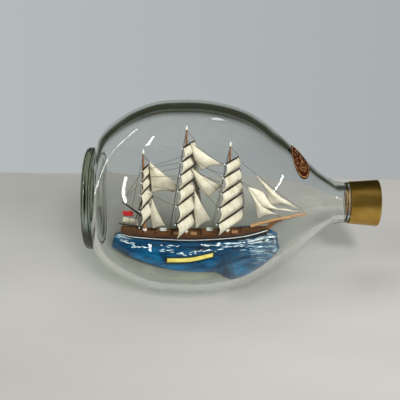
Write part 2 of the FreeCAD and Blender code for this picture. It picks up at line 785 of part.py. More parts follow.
def make_running_rigging():
    """Lifts from yard end to yard end, and braces from the yards aft."""
    threads = []
    for name, (x, truck, _, heights, _) in MASTS.items():
        for side in (-1, 1):
            points = [at(x, side * 0.6, truck - 1.0)]
            points += [yard_end(name, index, side) for index in range(len(heights))]
            for upper, lower in zip(points, points[1:]):
                gap = (lower - upper).normalize() * (BEAD_SIZE + 0.1)
                threads.append(thread(upper + gap, lower - gap))
    for name, target, top in BRACES:
        target_x = MASTS[target][0]
        for index in range(1, len(MASTS[name][3]) - 1):
            for side in (-1, 1):
                end = at(target_x + 0.8, side * 1.1, top - BRACE_DROP * index)
                start = yard_end(name, index, side)
                gap = (end - start).normalize() * (BEAD_SIZE + 0.1)
                threads.append(thread(start + gap, end))
    peak = at(GAFF_PEAK[0] + 0.6, 0, GAFF_PEAK[1] + 0.8)
    for height in (14.0, 22.0):
        threads.append(thread(at(MASTS["mizzen"][0] - 0.9, 0, height), peak))
    return threads


# ------------------------------------------------------------ sea's ornaments
def plate(length, height, thickness, lift):
    """A thin plate on the sea's front slope."""
    slab = Part.makeBox(length, height, thickness, V(-length / 2, -height / 2, lift))
    slab.rotate(V(0, 0, 0), V(0, 0, 1), PLATE_TURN)
    slab.rotate(V(0, 0, 0), V(1, 0, 0), PLATE_SLOPE)
    slab.translate(at(PLATE_X, PLATE_Y, PLATE_Z))
    return slab


def crest(x, y, z, length, turn):
    """A low curled ridge of white paint."""
    ball = Part.makeSphere(1.0)
    grow = FreeCAD.Matrix()
    grow.scale(length / 2, 0.8, 0.5)
    ridge = ball.transformGeometry(grow)
    ridge.rotate(V(0, 0, 0), V(0, 0, 1), turn)
    ridge.translate(at(x, y, z))
    return ridge


def sea_height(x, y):
    half = value_between(SEA_RINGS, x)
    return SEA_LEVEL + value_between(SEA_RINGS, x, 2) + value_between(SEA_SLOPE, abs(y) / half)


def make_crests():
    """White crests: a line along the hull, a bow wave and some on the slopes."""
    return [crest(x, y, sea_height(x, y) + CREST_LIFT, length, turn) for x, y, length, turn in CRESTS]


# -------------------------------------------------------------- the whole part
if __name__ == "__main__":
    bottle = make_bottle()
    save("bottle", bottle)
    save("shoulder_label", make_label())
    save("stopper_cap", make_cap())
    save("stopper_disc", make_stopper_disc())
    save("stopper_cork", make_cork())

    hull = hull_layer(KEEL_Z, WALE_Z, flat_bottom=True)
    stripe = hull_layer(WALE_Z, WALE_Z + STRIPE_HEIGHT, -0.08)
    topsides = make_topsides()
    knee = make_stem_knee()
    masts = {name: make_mast(name) for name in MASTS}
    bowsprit = profile_rod(BOWSPRIT_HEEL, BOWSPRIT_TIP, BOWSPRIT_RADIUS, BOWSPRIT_END_RADIUS)
    gaff = profile_rod(GAFF_THROAT, GAFF_PEAK, GAFF_RADIUS, GAFF_END_RADIUS)
    boom = profile_rod(BOOM_HEEL, BOOM_END, GAFF_RADIUS, GAFF_END_RADIUS)
    yards = {name: make_yards(name) for name in MASTS}
    beads = make_yard_beads()
    spars = [yard for group in yards.values() for yard in group]
    bands = trimmed(make_mast_bands(), spars, WOOD_OFFCUT)
    save("hull", hull)
    save("hull_stripe", stripe)
    save("topsides", topsides)
    save("stem_knee", knee)
    save("deck", make_deck())
    save("raised_decks", *make_raised_decks(topsides))
    houses = make_deckhouses()
    save("deckhouses", *houses)
    save("hatches", *make_hatches())
    boats = make_lifeboats()
    save("lifeboats", *boats)
    save("deck_fittings", *make_deck_fittings())

    for name, mast in masts.items():
        save(name + "_mast", mast)
        save(name + "_yards", *yards[name])
    save("mast_tips", *make_mast_tips())
    save("mast_bands", *bands)
    save("mast_hinge_wires", *make_hinge_wires())
    save("yard_beads", *beads)
    save("bowsprit", bowsprit)
    save("gaff", gaff)
    save("boom", boom)

    sails = {}
    for name, sail_names in SAIL_NAMES.items():
        for index, sail_name in enumerate(sail_names):
            sails[sail_name] = make_square_sail(name, index)
    square_sails = list(sails.values())
    for name in STAYSAILS:
        sails[name] = trimmed([make_staysail(name)], square_sails + spars, SAIL_OFFCUT)[0]
    sails["spanker"] = flat_sheet(SPANKER, SAIL_THICKNESS)
    for name, sail in sails.items():
        save(name, sail)
    save("red_flag", flat_sheet(FLAG, FLAG_THICKNESS))

    solids = list(masts.values()) + [bowsprit, gaff, topsides, knee] + beads + bands
    solids += spars + list(sails.values()) + houses + boats
    standing = trimmed(make_standing_rigging(), solids, THREAD_OFFCUT)
    save("standing_rigging", *standing)
    save("running_rigging", *trimmed(make_running_rigging(), solids + standing, THREAD_OFFCUT))

    sea = make_sea([hull, stripe, knee])
    back_plate = plate(PLATE_LENGTH, PLATE_HEIGHT, PLATE_THICKNESS, 0.0)
    face_plate = plate(PLATE_LENGTH - 2 * PLATE_BORDER, PLATE_HEIGHT - 2 * PLATE_BORDER,
                       PLATE_THICKNESS / 2, PLATE_THICKNESS)
    save("sea", sea)
    save("nameplate_border", back_plate.cut(sea))
    save("nameplate", face_plate)
    around = [sea, hull, stripe, back_plate, face_plate]
    save("wave_crests", *trimmed(make_crests(), around, CREST_OFFCUT))
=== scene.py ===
import json
import math
import random

import bpy
from mathutils import Matrix, Vector, noise


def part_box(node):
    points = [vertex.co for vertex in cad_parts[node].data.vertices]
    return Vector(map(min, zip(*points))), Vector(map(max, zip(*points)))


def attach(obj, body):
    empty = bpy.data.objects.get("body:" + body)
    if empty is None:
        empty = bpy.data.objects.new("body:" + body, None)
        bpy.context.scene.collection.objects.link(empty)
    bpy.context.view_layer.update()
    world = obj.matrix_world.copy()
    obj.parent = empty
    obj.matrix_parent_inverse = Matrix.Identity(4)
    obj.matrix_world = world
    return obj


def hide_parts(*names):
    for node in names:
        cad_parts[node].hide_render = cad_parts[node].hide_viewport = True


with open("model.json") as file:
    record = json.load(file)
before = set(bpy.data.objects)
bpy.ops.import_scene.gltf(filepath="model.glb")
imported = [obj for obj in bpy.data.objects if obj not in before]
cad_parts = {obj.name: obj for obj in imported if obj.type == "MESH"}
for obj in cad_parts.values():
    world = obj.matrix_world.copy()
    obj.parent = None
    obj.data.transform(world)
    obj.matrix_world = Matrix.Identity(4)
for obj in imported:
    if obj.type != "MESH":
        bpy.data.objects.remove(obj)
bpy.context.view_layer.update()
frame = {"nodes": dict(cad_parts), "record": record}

# Everything is in metres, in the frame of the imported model: X towards the
# bottle's neck, -Y towards the viewer, Z up, origin on the table.
MM = 0.001
MOUNTS = {mount["name"]: mount for mount in frame["record"]["mounts"]}
AXIS_Z = MOUNTS["foot_face"]["pos_m"][2]
FOOT_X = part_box("bottle")[0].x
LIP_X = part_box("bottle")[1].x

# ---------------------------------------------------------------- bottle shape
WALL = 4.0 * MM
# The inside of a corner is thicker by this much, once it stands out this far
# beyond the faces, in millimetres.
CORNER_EXTRA = 1.8
FULL_CORNER = 12.0
SHARPNESS = 0.136
ANGLE_STEPS = 168
RINGS_PER_SPAN = 6
FOOT_RADIUS = 38.0 * MM
FOOT_THICKNESS = 8.0 * MM
FOOT_EDGE = 3.0 * MM
BORE_RADIUS = 10.0 * MM
LIP_RADIUS = 14.2 * MM
GLASS_WAVER = 0.18 * MM
WAVER_LENGTH = 26.0 * MM

# Distance along the bottle, radius at its three corners, radius at its three
# hollow faces, in millimetres.
BODY_RINGS = [
    (-101.5, 36.0, 36.0), (-100.0, 43.0, 37.4), (-97.0, 49.5, 38.8), (-92.0, 55.5, 40.4),
    (-84.0, 62.0, 42.0), (-72.0, 69.2, 43.2), (-56.0, 75.2, 43.5), (-40.0, 76.8, 43.5),
    (-24.0, 76.8, 43.5), (-8.0, 74.4, 44.0), (8.0, 69.4, 45.0), (20.0, 62.6, 45.2),
    (31.0, 53.8, 43.0), (41.0, 45.0, 38.4), (50.0, 36.6, 32.4), (59.0, 28.0, 26.0),
    (68.0, 20.6, 20.0), (76.0, 16.2, 16.2), (84.0, 14.7, 14.7),
]


# ------------------------------------------------------------- mesh functions
def new_object(name, verts, faces, smooth=True, uvs=None):
    mesh = bpy.data.meshes.new(name)
    mesh.from_pydata([tuple(v) for v in verts], [], faces)
    if uvs:
        layer = mesh.uv_layers.new(name="uv")
        for loop in mesh.loops:
            layer.data[loop.index].uv = uvs[loop.vertex_index]
    mesh.validate()
    if smooth:
        mesh.shade_smooth()
    obj = bpy.data.objects.new(name, mesh)
    bpy.context.scene.collection.objects.link(obj)
    return obj


def sheet_faces(rows, cols):
    """Faces of a closed sheet: a grid, the same grid behind it, and their edge."""
    count = rows * cols
    faces = []
    for i in range(rows - 1):
        for j in range(cols - 1):
            a, b = i * cols + j, i * cols + j + 1
            c, d = b + cols, a + cols
            faces.append((a, b, c, d))
            faces.append((count + d, count + c, count + b, count + a))
    rim = list(range(cols)) + [i * cols + cols - 1 for i in range(1, rows)]
    rim += [(rows - 1) * cols + j for j in range(cols - 2, -1, -1)]
    rim += [i * cols for i in range(rows - 2, 0, -1)]
    return faces + [(b, a, count + a, count + b) for a, b in zip(rim, rim[1:] + rim[:1])]


def thin_sheet(name, rows, cols, point_at, thickness):
    """A closed sheet; point_at gives its points from shares of the way down and across."""
    grid = [[point_at(i / (rows - 1), j / (cols - 1)) for j in range(cols)] for i in range(rows)]
    front, back, uvs = [], [], []
    for i in range(rows):
        for j in range(cols):
            down = grid[min(i + 1, rows - 1)][j] - grid[max(i - 1, 0)][j]
            across = grid[i][min(j + 1, cols - 1)] - grid[i][max(j - 1, 0)]
            shift = down.cross(across).normalized() * (thickness / 2)
            front.append(grid[i][j] + shift)
            back.append(grid[i][j] - shift)
            uvs.append((j / (cols - 1), i / (rows - 1)))
    return new_object(name, front + back, sheet_faces(rows, cols), uvs=uvs + uvs)


def ring_tube(name, rings, steps=ANGLE_STEPS, centres=None, uvs=None):
    """A surface through rings of points, closed at each end on a centre point."""
    verts = [point for ring in rings for point in ring]
    faces = []
    for i in range(len(rings) - 1):
        for j in range(steps):
            k = (j + 1) % steps
            faces.append((i * steps + j, i * steps + k, (i + 1) * steps + k, (i + 1) * steps + j))
    for end, index in ((0, 0), (1, len(rings) - 1)):
        verts.append(centres[end] if centres else sum(rings[index], Vector()) / steps)
        for j in range(steps):
            pair = (index * steps + j, index * steps + (j + 1) % steps)
            faces.append((len(verts) - 1,) + (pair[::-1] if end == 0 else pair))
    return new_object(name, verts, faces, uvs=uvs)


def turned(name, outline, steps=96):
    """A solid turned about the bottle's axis from an (x, radius) outline."""
    angles = [2 * math.pi * k / steps for k in range(steps)]
    rings = [[Vector((x, radius * math.sin(angle), AXIS_Z + radius * math.cos(angle))) for angle in angles]
             for x, radius in outline]
    return ring_tube(name, rings, steps)


def arc_points(x, radius, size, start, end, steps=6):
    """Points of a rounded corner in an (x, radius) outline; angles in degrees."""
    points = []
    for step in range(steps + 1):
        angle = math.radians(start + (end - start) * step / steps)
        points.append((x + size * math.cos(angle), radius + size * math.sin(angle)))
    return points


def between(first, second, start, end, place):
    return first * ((end - place) / (end - start)) + second * ((place - start) / (end - start))


def spline(points, per_span):
    """Centripetal Catmull-Rom curve through points given as tuples."""
    rows = [Vector(p) for p in points]
    rows = [rows[0] * 2 - rows[1]] + rows + [rows[-1] * 2 - rows[-2]]
    result = []
    for p0, p1, p2, p3 in zip(rows, rows[1:], rows[2:], rows[3:]):
        t1 = (p1 - p0).length ** 0.5
        t2 = t1 + (p2 - p1).length ** 0.5
        t3 = t2 + (p3 - p2).length ** 0.5
        for step in range(per_span):
            t = t1 + (t2 - t1) * step / per_span
            middle = between(p1, p2, t1, t2, t)
            low = between(between(p0, p1, 0.0, t1, t), middle, 0.0, t2, t)
            high = between(middle, between(p2, p3, t2, t3, t), t1, t3, t)
            result.append(between(low, high, t1, t2, t))
    result.append(rows[-2])
    return result


# ------------------------------------------------------------- bottle surface
def ring_radius(ridge, face, angle):
    swing = (ridge - face) / 2
    mean = (ridge + face) / 2 - SHARPNESS * swing
    return mean + swing * (math.cos(3 * angle) + SHARPNESS * math.cos(6 * angle))


def moved_rings(rings, offset):
    """The rings moved along the surface's slope; a negative offset goes inwards."""
    result = []
    for index, ring in enumerate(rings):
        before = rings[max(index - 1, 0)]
        after = rings[min(index + 1, len(rings) - 1)]
        run = after[0] - before[0]
        rise = (after[1] + after[2] - before[1] - before[2]) / 2
        length = math.hypot(run, rise)
        result.append(Vector((ring[0] - offset * rise / length, ring[1] + offset * run / length,
                              ring[2] + offset * run / length)))
    return result


def ring_points(x, ridge, face, waver=0.0):
    points = []
    for step in range(ANGLE_STEPS):
        angle = 2 * math.pi * step / ANGLE_STEPS
        radius = ring_radius(ridge, face, angle)
        point = Vector((x, radius * math.sin(angle), radius * math.cos(angle)))
        if waver:
            radius += waver * noise.noise(point / WAVER_LENGTH)
            point = Vector((x, radius * math.sin(angle), radius * math.cos(angle)))
        points.append(point + Vector((0, 0, AXIS_Z)))
    return points


OUTER = [v * MM for v in spline(BODY_RINGS, RINGS_PER_SPAN)]
INNER_GUIDE = [(v[0], v[1] - CORNER_EXTRA * min(1.0, max(0.0, v[1] - v[2]) / FULL_CORNER), v[2])
               for v in moved_rings(BODY_RINGS[:-2], -WALL / MM)]
INNER_GUIDE += [(78.0, 10.6, 10.6), (84.0, 10.0, 10.0)]
INNER = [v * MM for v in spline(INNER_GUIDE, RINGS_PER_SPAN)]


def read_table(table, place, column=1):
    """A table's column at a place, with straight lines between its rows."""
    for low, high in zip(table, table[1:]):
        if low[0] <= place <= high[0]:
            share = (place - low[0]) / (high[0] - low[0])
            return low[column] + (high[column] - low[column]) * share
    return table[-1][column] if place > table[-1][0] else table[0][column]


def ring_at(rings, x):
    """Corner and face radii of a surface at a distance along the bottle."""
    return read_table(rings, x, 1), read_table(rings, x, 2)


# The hollow under the foot (depth, radius), and the dome inside it (share of
# the inner radius, height), in millimetres.
FOOT_HOLLOW = ((1.4, 0.5), (1.2, 16.0), (0.6, 26.0), (0.1, 31.0))
INNER_DOME = ((0.93, 1.3), (0.8, 2.1), (0.6, 2.6), (0.4, 2.9), (0.2, 3.1), (0.03, 3.2))
GROOVE_RADIUS = 35.6 * MM
BEAD_X = 84.7 * MM
BEAD_RADIUS = 14.5 * MM
BEAD_SIZE = 0.8 * MM
NECK_MIDDLE = 95.0 * MM
BORE_START = 86.5 * MM
LIP_ROUND = 1.6 * MM
BORE_ROUND = 0.8 * MM


def make_bottle():
    foot_end = FOOT_X + FOOT_THICKNESS
    foot = [(FOOT_X + depth * MM, radius * MM) for depth, radius in FOOT_HOLLOW]
    foot += arc_points(FOOT_X + FOOT_EDGE, FOOT_RADIUS - FOOT_EDGE, FOOT_EDGE, 180, 90, 10)
    foot += arc_points(foot_end - FOOT_EDGE, FOOT_RADIUS - FOOT_EDGE, FOOT_EDGE, 90, 20, 8)
    foot += [(foot_end - 0.25 * MM, GROOVE_RADIUS)]
    neck = arc_points(BEAD_X, BEAD_RADIUS, BEAD_SIZE, 150, 20, 8)
    neck += [(BEAD_X + 1.3 * MM, LIP_RADIUS), (NECK_MIDDLE, LIP_RADIUS)]
    neck += arc_points(LIP_X - LIP_ROUND, LIP_RADIUS - LIP_ROUND, LIP_ROUND, 90, 0, 8)
    neck += arc_points(LIP_X - BORE_ROUND, BORE_RADIUS + BORE_ROUND, BORE_ROUND, 0, -90, 6)
    neck += [(NECK_MIDDLE, BORE_RADIUS), (BORE_START, BORE_RADIUS)]
    rings = [ring_points(x, radius, radius) for x, radius in foot]
    rings += [ring_points(v.x, v.y, v.z) for v in OUTER]
    rings += [ring_points(x, radius, radius) for x, radius in neck]
    rings += [ring_points(v.x, v.y, v.z, GLASS_WAVER) for v in reversed(INNER)]
    for share, height in INNER_DOME:
        radius = INNER[0].y * share
        rings.append(ring_points(INNER[0].x + (height * 0.3 - 0.9) * MM, radius, radius))
    return ring_tube("bottle_glass", rings)


# ---------------------------------------------------------- material functions
def set_inputs(node, values):
    """Links or sets a node's inputs, which are given by name or by number."""
    for key, value in values.items():
        socket = node.inputs[key]
        if isinstance(value, bpy.types.NodeSocket):
            node.id_data.links.new(value, socket)
        elif socket.type == "RGBA":
            socket.default_value = value + (1.0,)
        else:
            socket.default_value = value


def add_node(tree, kind, values):
    node = tree.nodes.new("ShaderNode" + kind)
    set_inputs(node, values)
    return node


def new_material(name):
    mat = bpy.data.materials.new(name)
    mat.use_nodes = True
    return mat, mat.node_tree, mat.node_tree.nodes["Principled BSDF"]


def coordinates(tree, kind="Object", stretch=(1, 1, 1)):
    coords = add_node(tree, "TexCoord", {})
    return add_node(tree, "Mapping", {"Vector": coords.outputs[kind], "Scale": stretch}).outputs["Vector"]


def noise_at(tree, vector, scale, detail=4.0, roughness=0.55, distortion=0.0):
    node = add_node(tree, "TexNoise", {"Vector": vector, "Scale": scale, "Detail": detail,
                                       "Roughness": roughness, "Distortion": distortion})
    return node.outputs["Fac"]


def grain_at(tree, stretch=(60, 900, 900), distortion=0.4):
    """Wood grain along the axis that is stretched least."""
    return noise_at(tree, coordinates(tree, stretch=stretch), 1.0, 6.0, 0.65, distortion)


def ramp(tree, fac, stops):
    node = add_node(tree, "ValToRGB", {"Fac": fac})
    elements = node.color_ramp.elements
    while len(elements) < len(stops):
        elements.new(0.5)
    for element, (place, colour) in zip(elements, stops):
        element.position = place
        element.color = colour + (1.0,)
    return node.outputs["Color"]


def calc(tree, operation, *values):
    node = tree.nodes.new("ShaderNodeMath")
    node.operation = operation
    set_inputs(node, dict(enumerate(values)))
    return node.outputs[0]


def map_range(tree, value, source=(0.0, 1.0), result=(0.0, 1.0), smooth=False):
    node = tree.nodes.new("ShaderNodeMapRange")
    node.interpolation_type = "SMOOTHSTEP" if smooth else "LINEAR"
    set_inputs(node, {"Value": value, "From Min": source[0], "From Max": source[1],
                      "To Min": result[0], "To Max": result[1]})
    return node.outputs["Result"]


def mix_colour(tree, fac, first, second):
    """Sockets 0, 6 and 7 are the factor and the two colours; output 2 is the result."""
    node = tree.nodes.new("ShaderNodeMix")
    node.data_type = "RGBA"
    set_inputs(node, {0: fac, 6: first, 7: second})
    return node.outputs[2]


def split(tree, vector):
    return add_node(tree, "SeparateXYZ", {0: vector}).outputs


def add_bump(tree, bsdf, height, strength, distance=0.1 * MM):
    node = add_node(tree, "Bump", {"Height": height, "Strength": strength, "Distance": distance})
    tree.links.new(node.outputs["Normal"], bsdf.inputs["Normal"])


def show_mix(tree, fac, first, second):
    """The material's surface is a mix of two shaders."""
    mix = add_node(tree, "MixShader", {0: fac, 1: first.outputs["BSDF"], 2: second.outputs["BSDF"]})
    tree.links.new(mix.outputs["Shader"], tree.nodes["Material Output"].inputs["Surface"])


def mottled(name, dark, light, scale, roughness, bump=0.15, stretch=(1, 1, 1), coat=0.0,
            metallic=0.0, bump_distance=0.1 * MM):
    """A material with colour and roughness varied by noise, and a fine bump."""
    mat, tree, bsdf = new_material(name)
    vector = coordinates(tree, stretch=stretch)
    broad = noise_at(tree, vector, scale, 5.0)
    fine = noise_at(tree, vector, scale * 7, 3.0)
    set_inputs(bsdf, {"Base Color": ramp(tree, broad, [(0.3, dark), (0.7, light)]),
                      "Roughness": map_range(tree, fine, result=roughness), "Metallic": metallic,
                      "Coat Weight": coat, "Coat Roughness": 0.12})
    add_bump(tree, bsdf, fine, bump, bump_distance)
    return mat


def glass_material():
    """Slightly green moulded glass; light passes it to reach the ship."""
    mat, tree, bsdf = new_material("bottle_glass")
    set_inputs(bsdf, {"Base Color": (0.985, 0.99, 0.982), "Roughness": 0.0, "IOR": 1.5,
                      "Transmission Weight": 1.0})
    clear = add_node(tree, "BsdfTransparent", {"Color": (0.90, 0.92, 0.91)})
    path = add_node(tree, "LightPath", {})
    show_mix(tree, path.outputs["Is Shadow Ray"], bsdf, clear)
    absorb = add_node(tree, "VolumeAbsorption", {"Color": (0.66, 0.73, 0.60), "Density": 27.0})
    tree.links.new(absorb.outputs["Volume"], tree.nodes["Material Output"].inputs["Volume"])
    return mat


def paper_sail_material(name, seams, seam_axis):
    """Cream paper with ruled seams, fibres and a little light through it."""
    mat, tree, bsdf = new_material(name)
    vector = coordinates(tree)
    blotch = noise_at(tree, vector, 170.0)
    fibre = noise_at(tree, vector, 2600.0)
    base = ramp(tree, blotch, [(0.3, (0.54, 0.475, 0.37)), (0.52, (0.67, 0.61, 0.51)),
                               (0.72, (0.74, 0.69, 0.61))])
    place = split(tree, coordinates(tree, "UV"))[seam_axis]
    across = calc(tree, "FRACT", calc(tree, "MULTIPLY", place, seams))
    seam = calc(tree, "COMPARE", across, 0.5, 0.05)
    colour = mix_colour(tree, calc(tree, "MULTIPLY", seam, 0.30), base, (0.42, 0.35, 0.25))
    set_inputs(bsdf, {"Base Color": colour, "Roughness": 0.72})
    height = calc(tree, "SUBTRACT", fibre, calc(tree, "MULTIPLY", seam, 0.8))
    add_bump(tree, bsdf, height, 0.35, 0.08 * MM)
    show_mix(tree, 0.22, bsdf, add_node(tree, "BsdfTranslucent", {"Color": colour}))
    return mat


def wood_material(name, dark, light, roughness, coat, stretch=(60, 900, 900)):
    mat, tree, bsdf = new_material(name)
    grain = grain_at(tree, stretch)
    set_inputs(bsdf, {"Base Color": ramp(tree, grain, [(0.28, dark), (0.72, light)]),
                      "Roughness": roughness, "Coat Weight": coat, "Coat Roughness": 0.2})
    add_bump(tree, bsdf, grain, 0.3)
    return mat


def planked_material(name, dark, light, spacing):
    """Wood in narrow planks along X, with dark seams between them."""
    mat, tree, bsdf = new_material(name)
    grain = grain_at(tree, distortion=0.3)
    place = split(tree, coordinates(tree, stretch=(1 / spacing,) * 3))[1]
    seam = calc(tree, "COMPARE", calc(tree, "FRACT", place), 0.5, 0.09)
    plank = tree.nodes.new("ShaderNodeTexWhiteNoise")
    plank.noise_dimensions = "1D"
    set_inputs(plank, {"W": calc(tree, "FLOOR", calc(tree, "ADD", place, 0.5))})
    shade = calc(tree, "ADD", calc(tree, "MULTIPLY", grain, 0.75),
                 calc(tree, "MULTIPLY", plank.outputs["Value"], 0.3))
    base = ramp(tree, shade, [(0.3, dark), (0.8, light)])
    colour = mix_colour(tree, calc(tree, "MULTIPLY", seam, 0.75), base, (0.03, 0.02, 0.015))
    set_inputs(bsdf, {"Base Color": colour, "Roughness": 0.6})
    height = calc(tree, "SUBTRACT", calc(tree, "MULTIPLY", grain, 0.3), seam)
    add_bump(tree, bsdf, height, 0.5)
    return mat


# The ship's sheer: where it is lowest, and how fast it rises to the bow and
# to the stern.
SHEER_LOW_X = -36.0 * MM
BOW_RATE = 5.6 * MM / (64 * MM) ** 2
STERN_RATE = 2.0 * MM / (48 * MM) ** 2


def two_tone(name, lower, upper, border_height, spread):
    """Varnished wood above a line that follows the ship's sheer, paint below it."""
    mat, tree, bsdf = new_material(name)
    place = split(tree, coordinates(tree))
    along = calc(tree, "SUBTRACT", place[0], SHEER_LOW_X)
    square = calc(tree, "MULTIPLY", along, along)
    ahead = calc(tree, "GREATER_THAN", along, 0.0)
    rate = calc(tree, "MULTIPLY_ADD", ahead, BOW_RATE - STERN_RATE, STERN_RATE)
    line = calc(tree, "MULTIPLY_ADD", square, rate, AXIS_Z + border_height)
    above = calc(tree, "SUBTRACT", place[2], line)
    share = add_node(tree, "Clamp", {"Value": calc(tree, "MULTIPLY_ADD", above, 1 / spread, 0.5)})
    grain = grain_at(tree)
    colours = [ramp(tree, grain, [(0.3, dark), (0.7, light)]) for dark, light in (lower, upper)]
    set_inputs(bsdf, {"Base Color": mix_colour(tree, share.outputs["Result"], *colours),
                      "Roughness": 0.42, "Coat Weight": 0.25})
    add_bump(tree, bsdf, grain, 0.3)
    return mat


def sea_material():
    """Deep blue paint brushed along the ship under varnish, with pale streaks."""
    mat, tree, bsdf = new_material("sea_putty")
    swirl = noise_at(tree, coordinates(tree, stretch=(0.4, 1, 1)), 70.0, 5.0, 0.6, 1.6)
    brush = noise_at(tree, coordinates(tree, stretch=(0.12, 1, 1)), 520.0, 5.0, 0.65, 0.8)
    streak = noise_at(tree, coordinates(tree, stretch=(0.16, 1, 1)), 620.0, 5.0, 0.7, 0.8)
    blend = calc(tree, "ADD", calc(tree, "MULTIPLY", swirl, 0.62),
                 calc(tree, "MULTIPLY", brush, 0.38))
    base = ramp(tree, blend, [(0.36, (0.0002, 0.007, 0.020)), (0.47, (0.0003, 0.029, 0.076)),
                              (0.58, (0.0005, 0.068, 0.158)), (0.72, (0.010, 0.155, 0.280))])
    height = split(tree, coordinates(tree))[2]
    level = map_range(tree, height, (AXIS_Z - 37.5 * MM, AXIS_Z - 31.5 * MM))
    foam = calc(tree, "MULTIPLY", level, streak)
    white = ramp(tree, foam, [(0.50, (0.0, 0.0, 0.0)), (0.60, (0.6, 0.6, 0.6))])
    set_inputs(bsdf, {"Base Color": mix_colour(tree, white, base, (0.60, 0.74, 0.80)),
                      "Roughness": 0.38, "Coat Weight": 0.12, "Coat Roughness": 0.24})
    add_bump(tree, bsdf, calc(tree, "ADD", brush, swirl), 0.3, 0.5 * MM)
    return mat


def label_material():
    """Dark red label with a worn gold oval border and scattered gold flecks."""
    mat, tree, bsdf = new_material("label_print")
    vector = coordinates(tree)
    speckle = noise_at(tree, vector, 700.0, 3.0)
    place = split(tree, coordinates(tree, "UV"))
    along, across = (calc(tree, "MULTIPLY_ADD", part, 2.0, -1.0) for part in place[:2])
    squares = calc(tree, "ADD", calc(tree, "MULTIPLY", across, across),
                   calc(tree, "MULTIPLY", along, along))
    radius = calc(tree, "SQRT", squares)
    border = calc(tree, "COMPARE", radius, 0.90, 0.022)
    flecks = calc(tree, "MULTIPLY", calc(tree, "LESS_THAN", radius, 0.68),
                  calc(tree, "GREATER_THAN", noise_at(tree, vector, 900.0, 2.0), 0.58))
    gold = calc(tree, "MAXIMUM", border, flecks)
    worn = calc(tree, "MULTIPLY", gold, calc(tree, "GREATER_THAN", speckle, 0.42))
    base = ramp(tree, speckle, [(0.3, (0.006, 0.001, 0.001)), (0.7, (0.026, 0.003, 0.002))])
    set_inputs(bsdf, {"Base Color": mix_colour(tree, worn, base, (0.22, 0.13, 0.04)),
                      "Roughness": 0.6, "Specular IOR Level": 0.2})
    add_bump(tree, bsdf, speckle, 0.15)
    return mat


def gold_material():
    """Gold lacquered metal, brushed round the axis, with faint wear."""
    mat, tree, bsdf = new_material("gold_metal")
    fine = noise_at(tree, coordinates(tree, stretch=(9, 1, 1)), 260.0)
    broad = noise_at(tree, coordinates(tree), 70.0)
    colour = ramp(tree, broad, [(0.25, (0.42, 0.24, 0.04)), (0.6, (0.56, 0.35, 0.085)),
                                (0.85, (0.62, 0.41, 0.13))])
    set_inputs(bsdf, {"Base Color": colour, "Metallic": 1.0,
                      "Roughness": map_range(tree, fine, result=(0.36, 0.52))})
    add_bump(tree, bsdf, fine, 0.06)
    return mat


# ------------------------------------------------------------------ the sea
SEA_LEVEL = -33.0 * MM
SEA_GAP = 0.15 * MM
# distance along the bottle, half the sea's width, and its rise above SEA_LEVEL
SEA_RINGS = [(-91.0, 17.0, 3.4), (-80.0, 23.0, 1.6), (-64.0, 28.5, 0.2), (-40.0, 35.0, 0.0),
             (-12.0, 36.5, 0.1), (4.0, 46.0, 0.6), (17.0, 48.0, 1.8), (27.0, 42.0, 3.0),
             (33.0, 33.0, 2.6), (37.0, 24.0, 1.2)]
# On the near side the putty runs out flat to the glass over this stretch.
LOBE_START, LOBE_FULL, LOBE_END = -11.0, 3.0, 44.0
LOBE_CLOSE = 12.0
LOBE_LIFT = 0.82
# The bow wave on the far side is no wider than this.
FAR_FADE = 9.0 * MM
# Share of the sea's half width, and how far the surface has dropped there.
SEA_SLOPE = [(0.0, 0.0), (0.3, -0.2), (0.52, -1.8), (0.72, -5.2), (0.88, -9.6), (1.0, -15.0), (2.0, -40.0)]
# The length across a wave and its height.
SEA_WAVES = ((9.0, 0.6), (3.6, 0.38), (1.4, 0.16))
SEA_THINNEST = 0.3 * MM


def sea_top(x, y, waves=1.0):
    """Height of the sea's surface above the table."""
    drop = read_table(SEA_SLOPE, abs(y) / (read_table(SEA_RINGS, x / MM) * MM))
    rise = read_table(SEA_RINGS, x / MM, 2)
    if y < 0:
        into = min(max((x / MM - LOBE_START) / (LOBE_FULL - LOBE_START), 0.0), 1.0)
        into *= min(max((LOBE_END - x / MM) / LOBE_CLOSE, 0.0), 1.0)
        drop *= 1 - LOBE_LIFT * into * into * (3 - 2 * into)
    else:
        rise *= max(0.0, 1 - y / FAR_FADE)
    place = Vector((x * 0.5, y, 0.0)) / MM
    swell = sum(noise.noise(place / length) * height for length, height in SEA_WAVES)
    return AXIS_Z + SEA_LEVEL + (drop + rise + swell * waves) * MM


def glass_floor(ring, y):
    """Height of the bottle's inside at a ring under a point, with the sea's gap."""
    low, high = AXIS_Z - 60 * MM, AXIS_Z - 20 * MM
    for _ in range(20):
        z = (low + high) / 2 - AXIS_Z
        radius = ring_radius(ring[0], ring[1], math.atan2(y, z))
        inside = math.hypot(y, z) < radius - SEA_GAP
        low, high = (low, z + AXIS_Z) if inside else (z + AXIS_Z, high)
    return high


def sea_reach(x, ring, side):
    """How far out from the middle the sea's surface meets the glass."""
    low, high = 0.0, 62 * MM
    for _ in range(16):
        y = (low + high) / 2
        above = sea_top(x, side * y, 0.2) > glass_floor(ring, side * y) + 0.25 * MM
        low, high = (y, high) if above else (low, y)
    return side * low


def round_off(share):
    """0 at an edge, rising to 1 along a quarter of a circle."""
    return math.sqrt(max(0.0, 1 - (1 - min(share, 1.0)) ** 2))


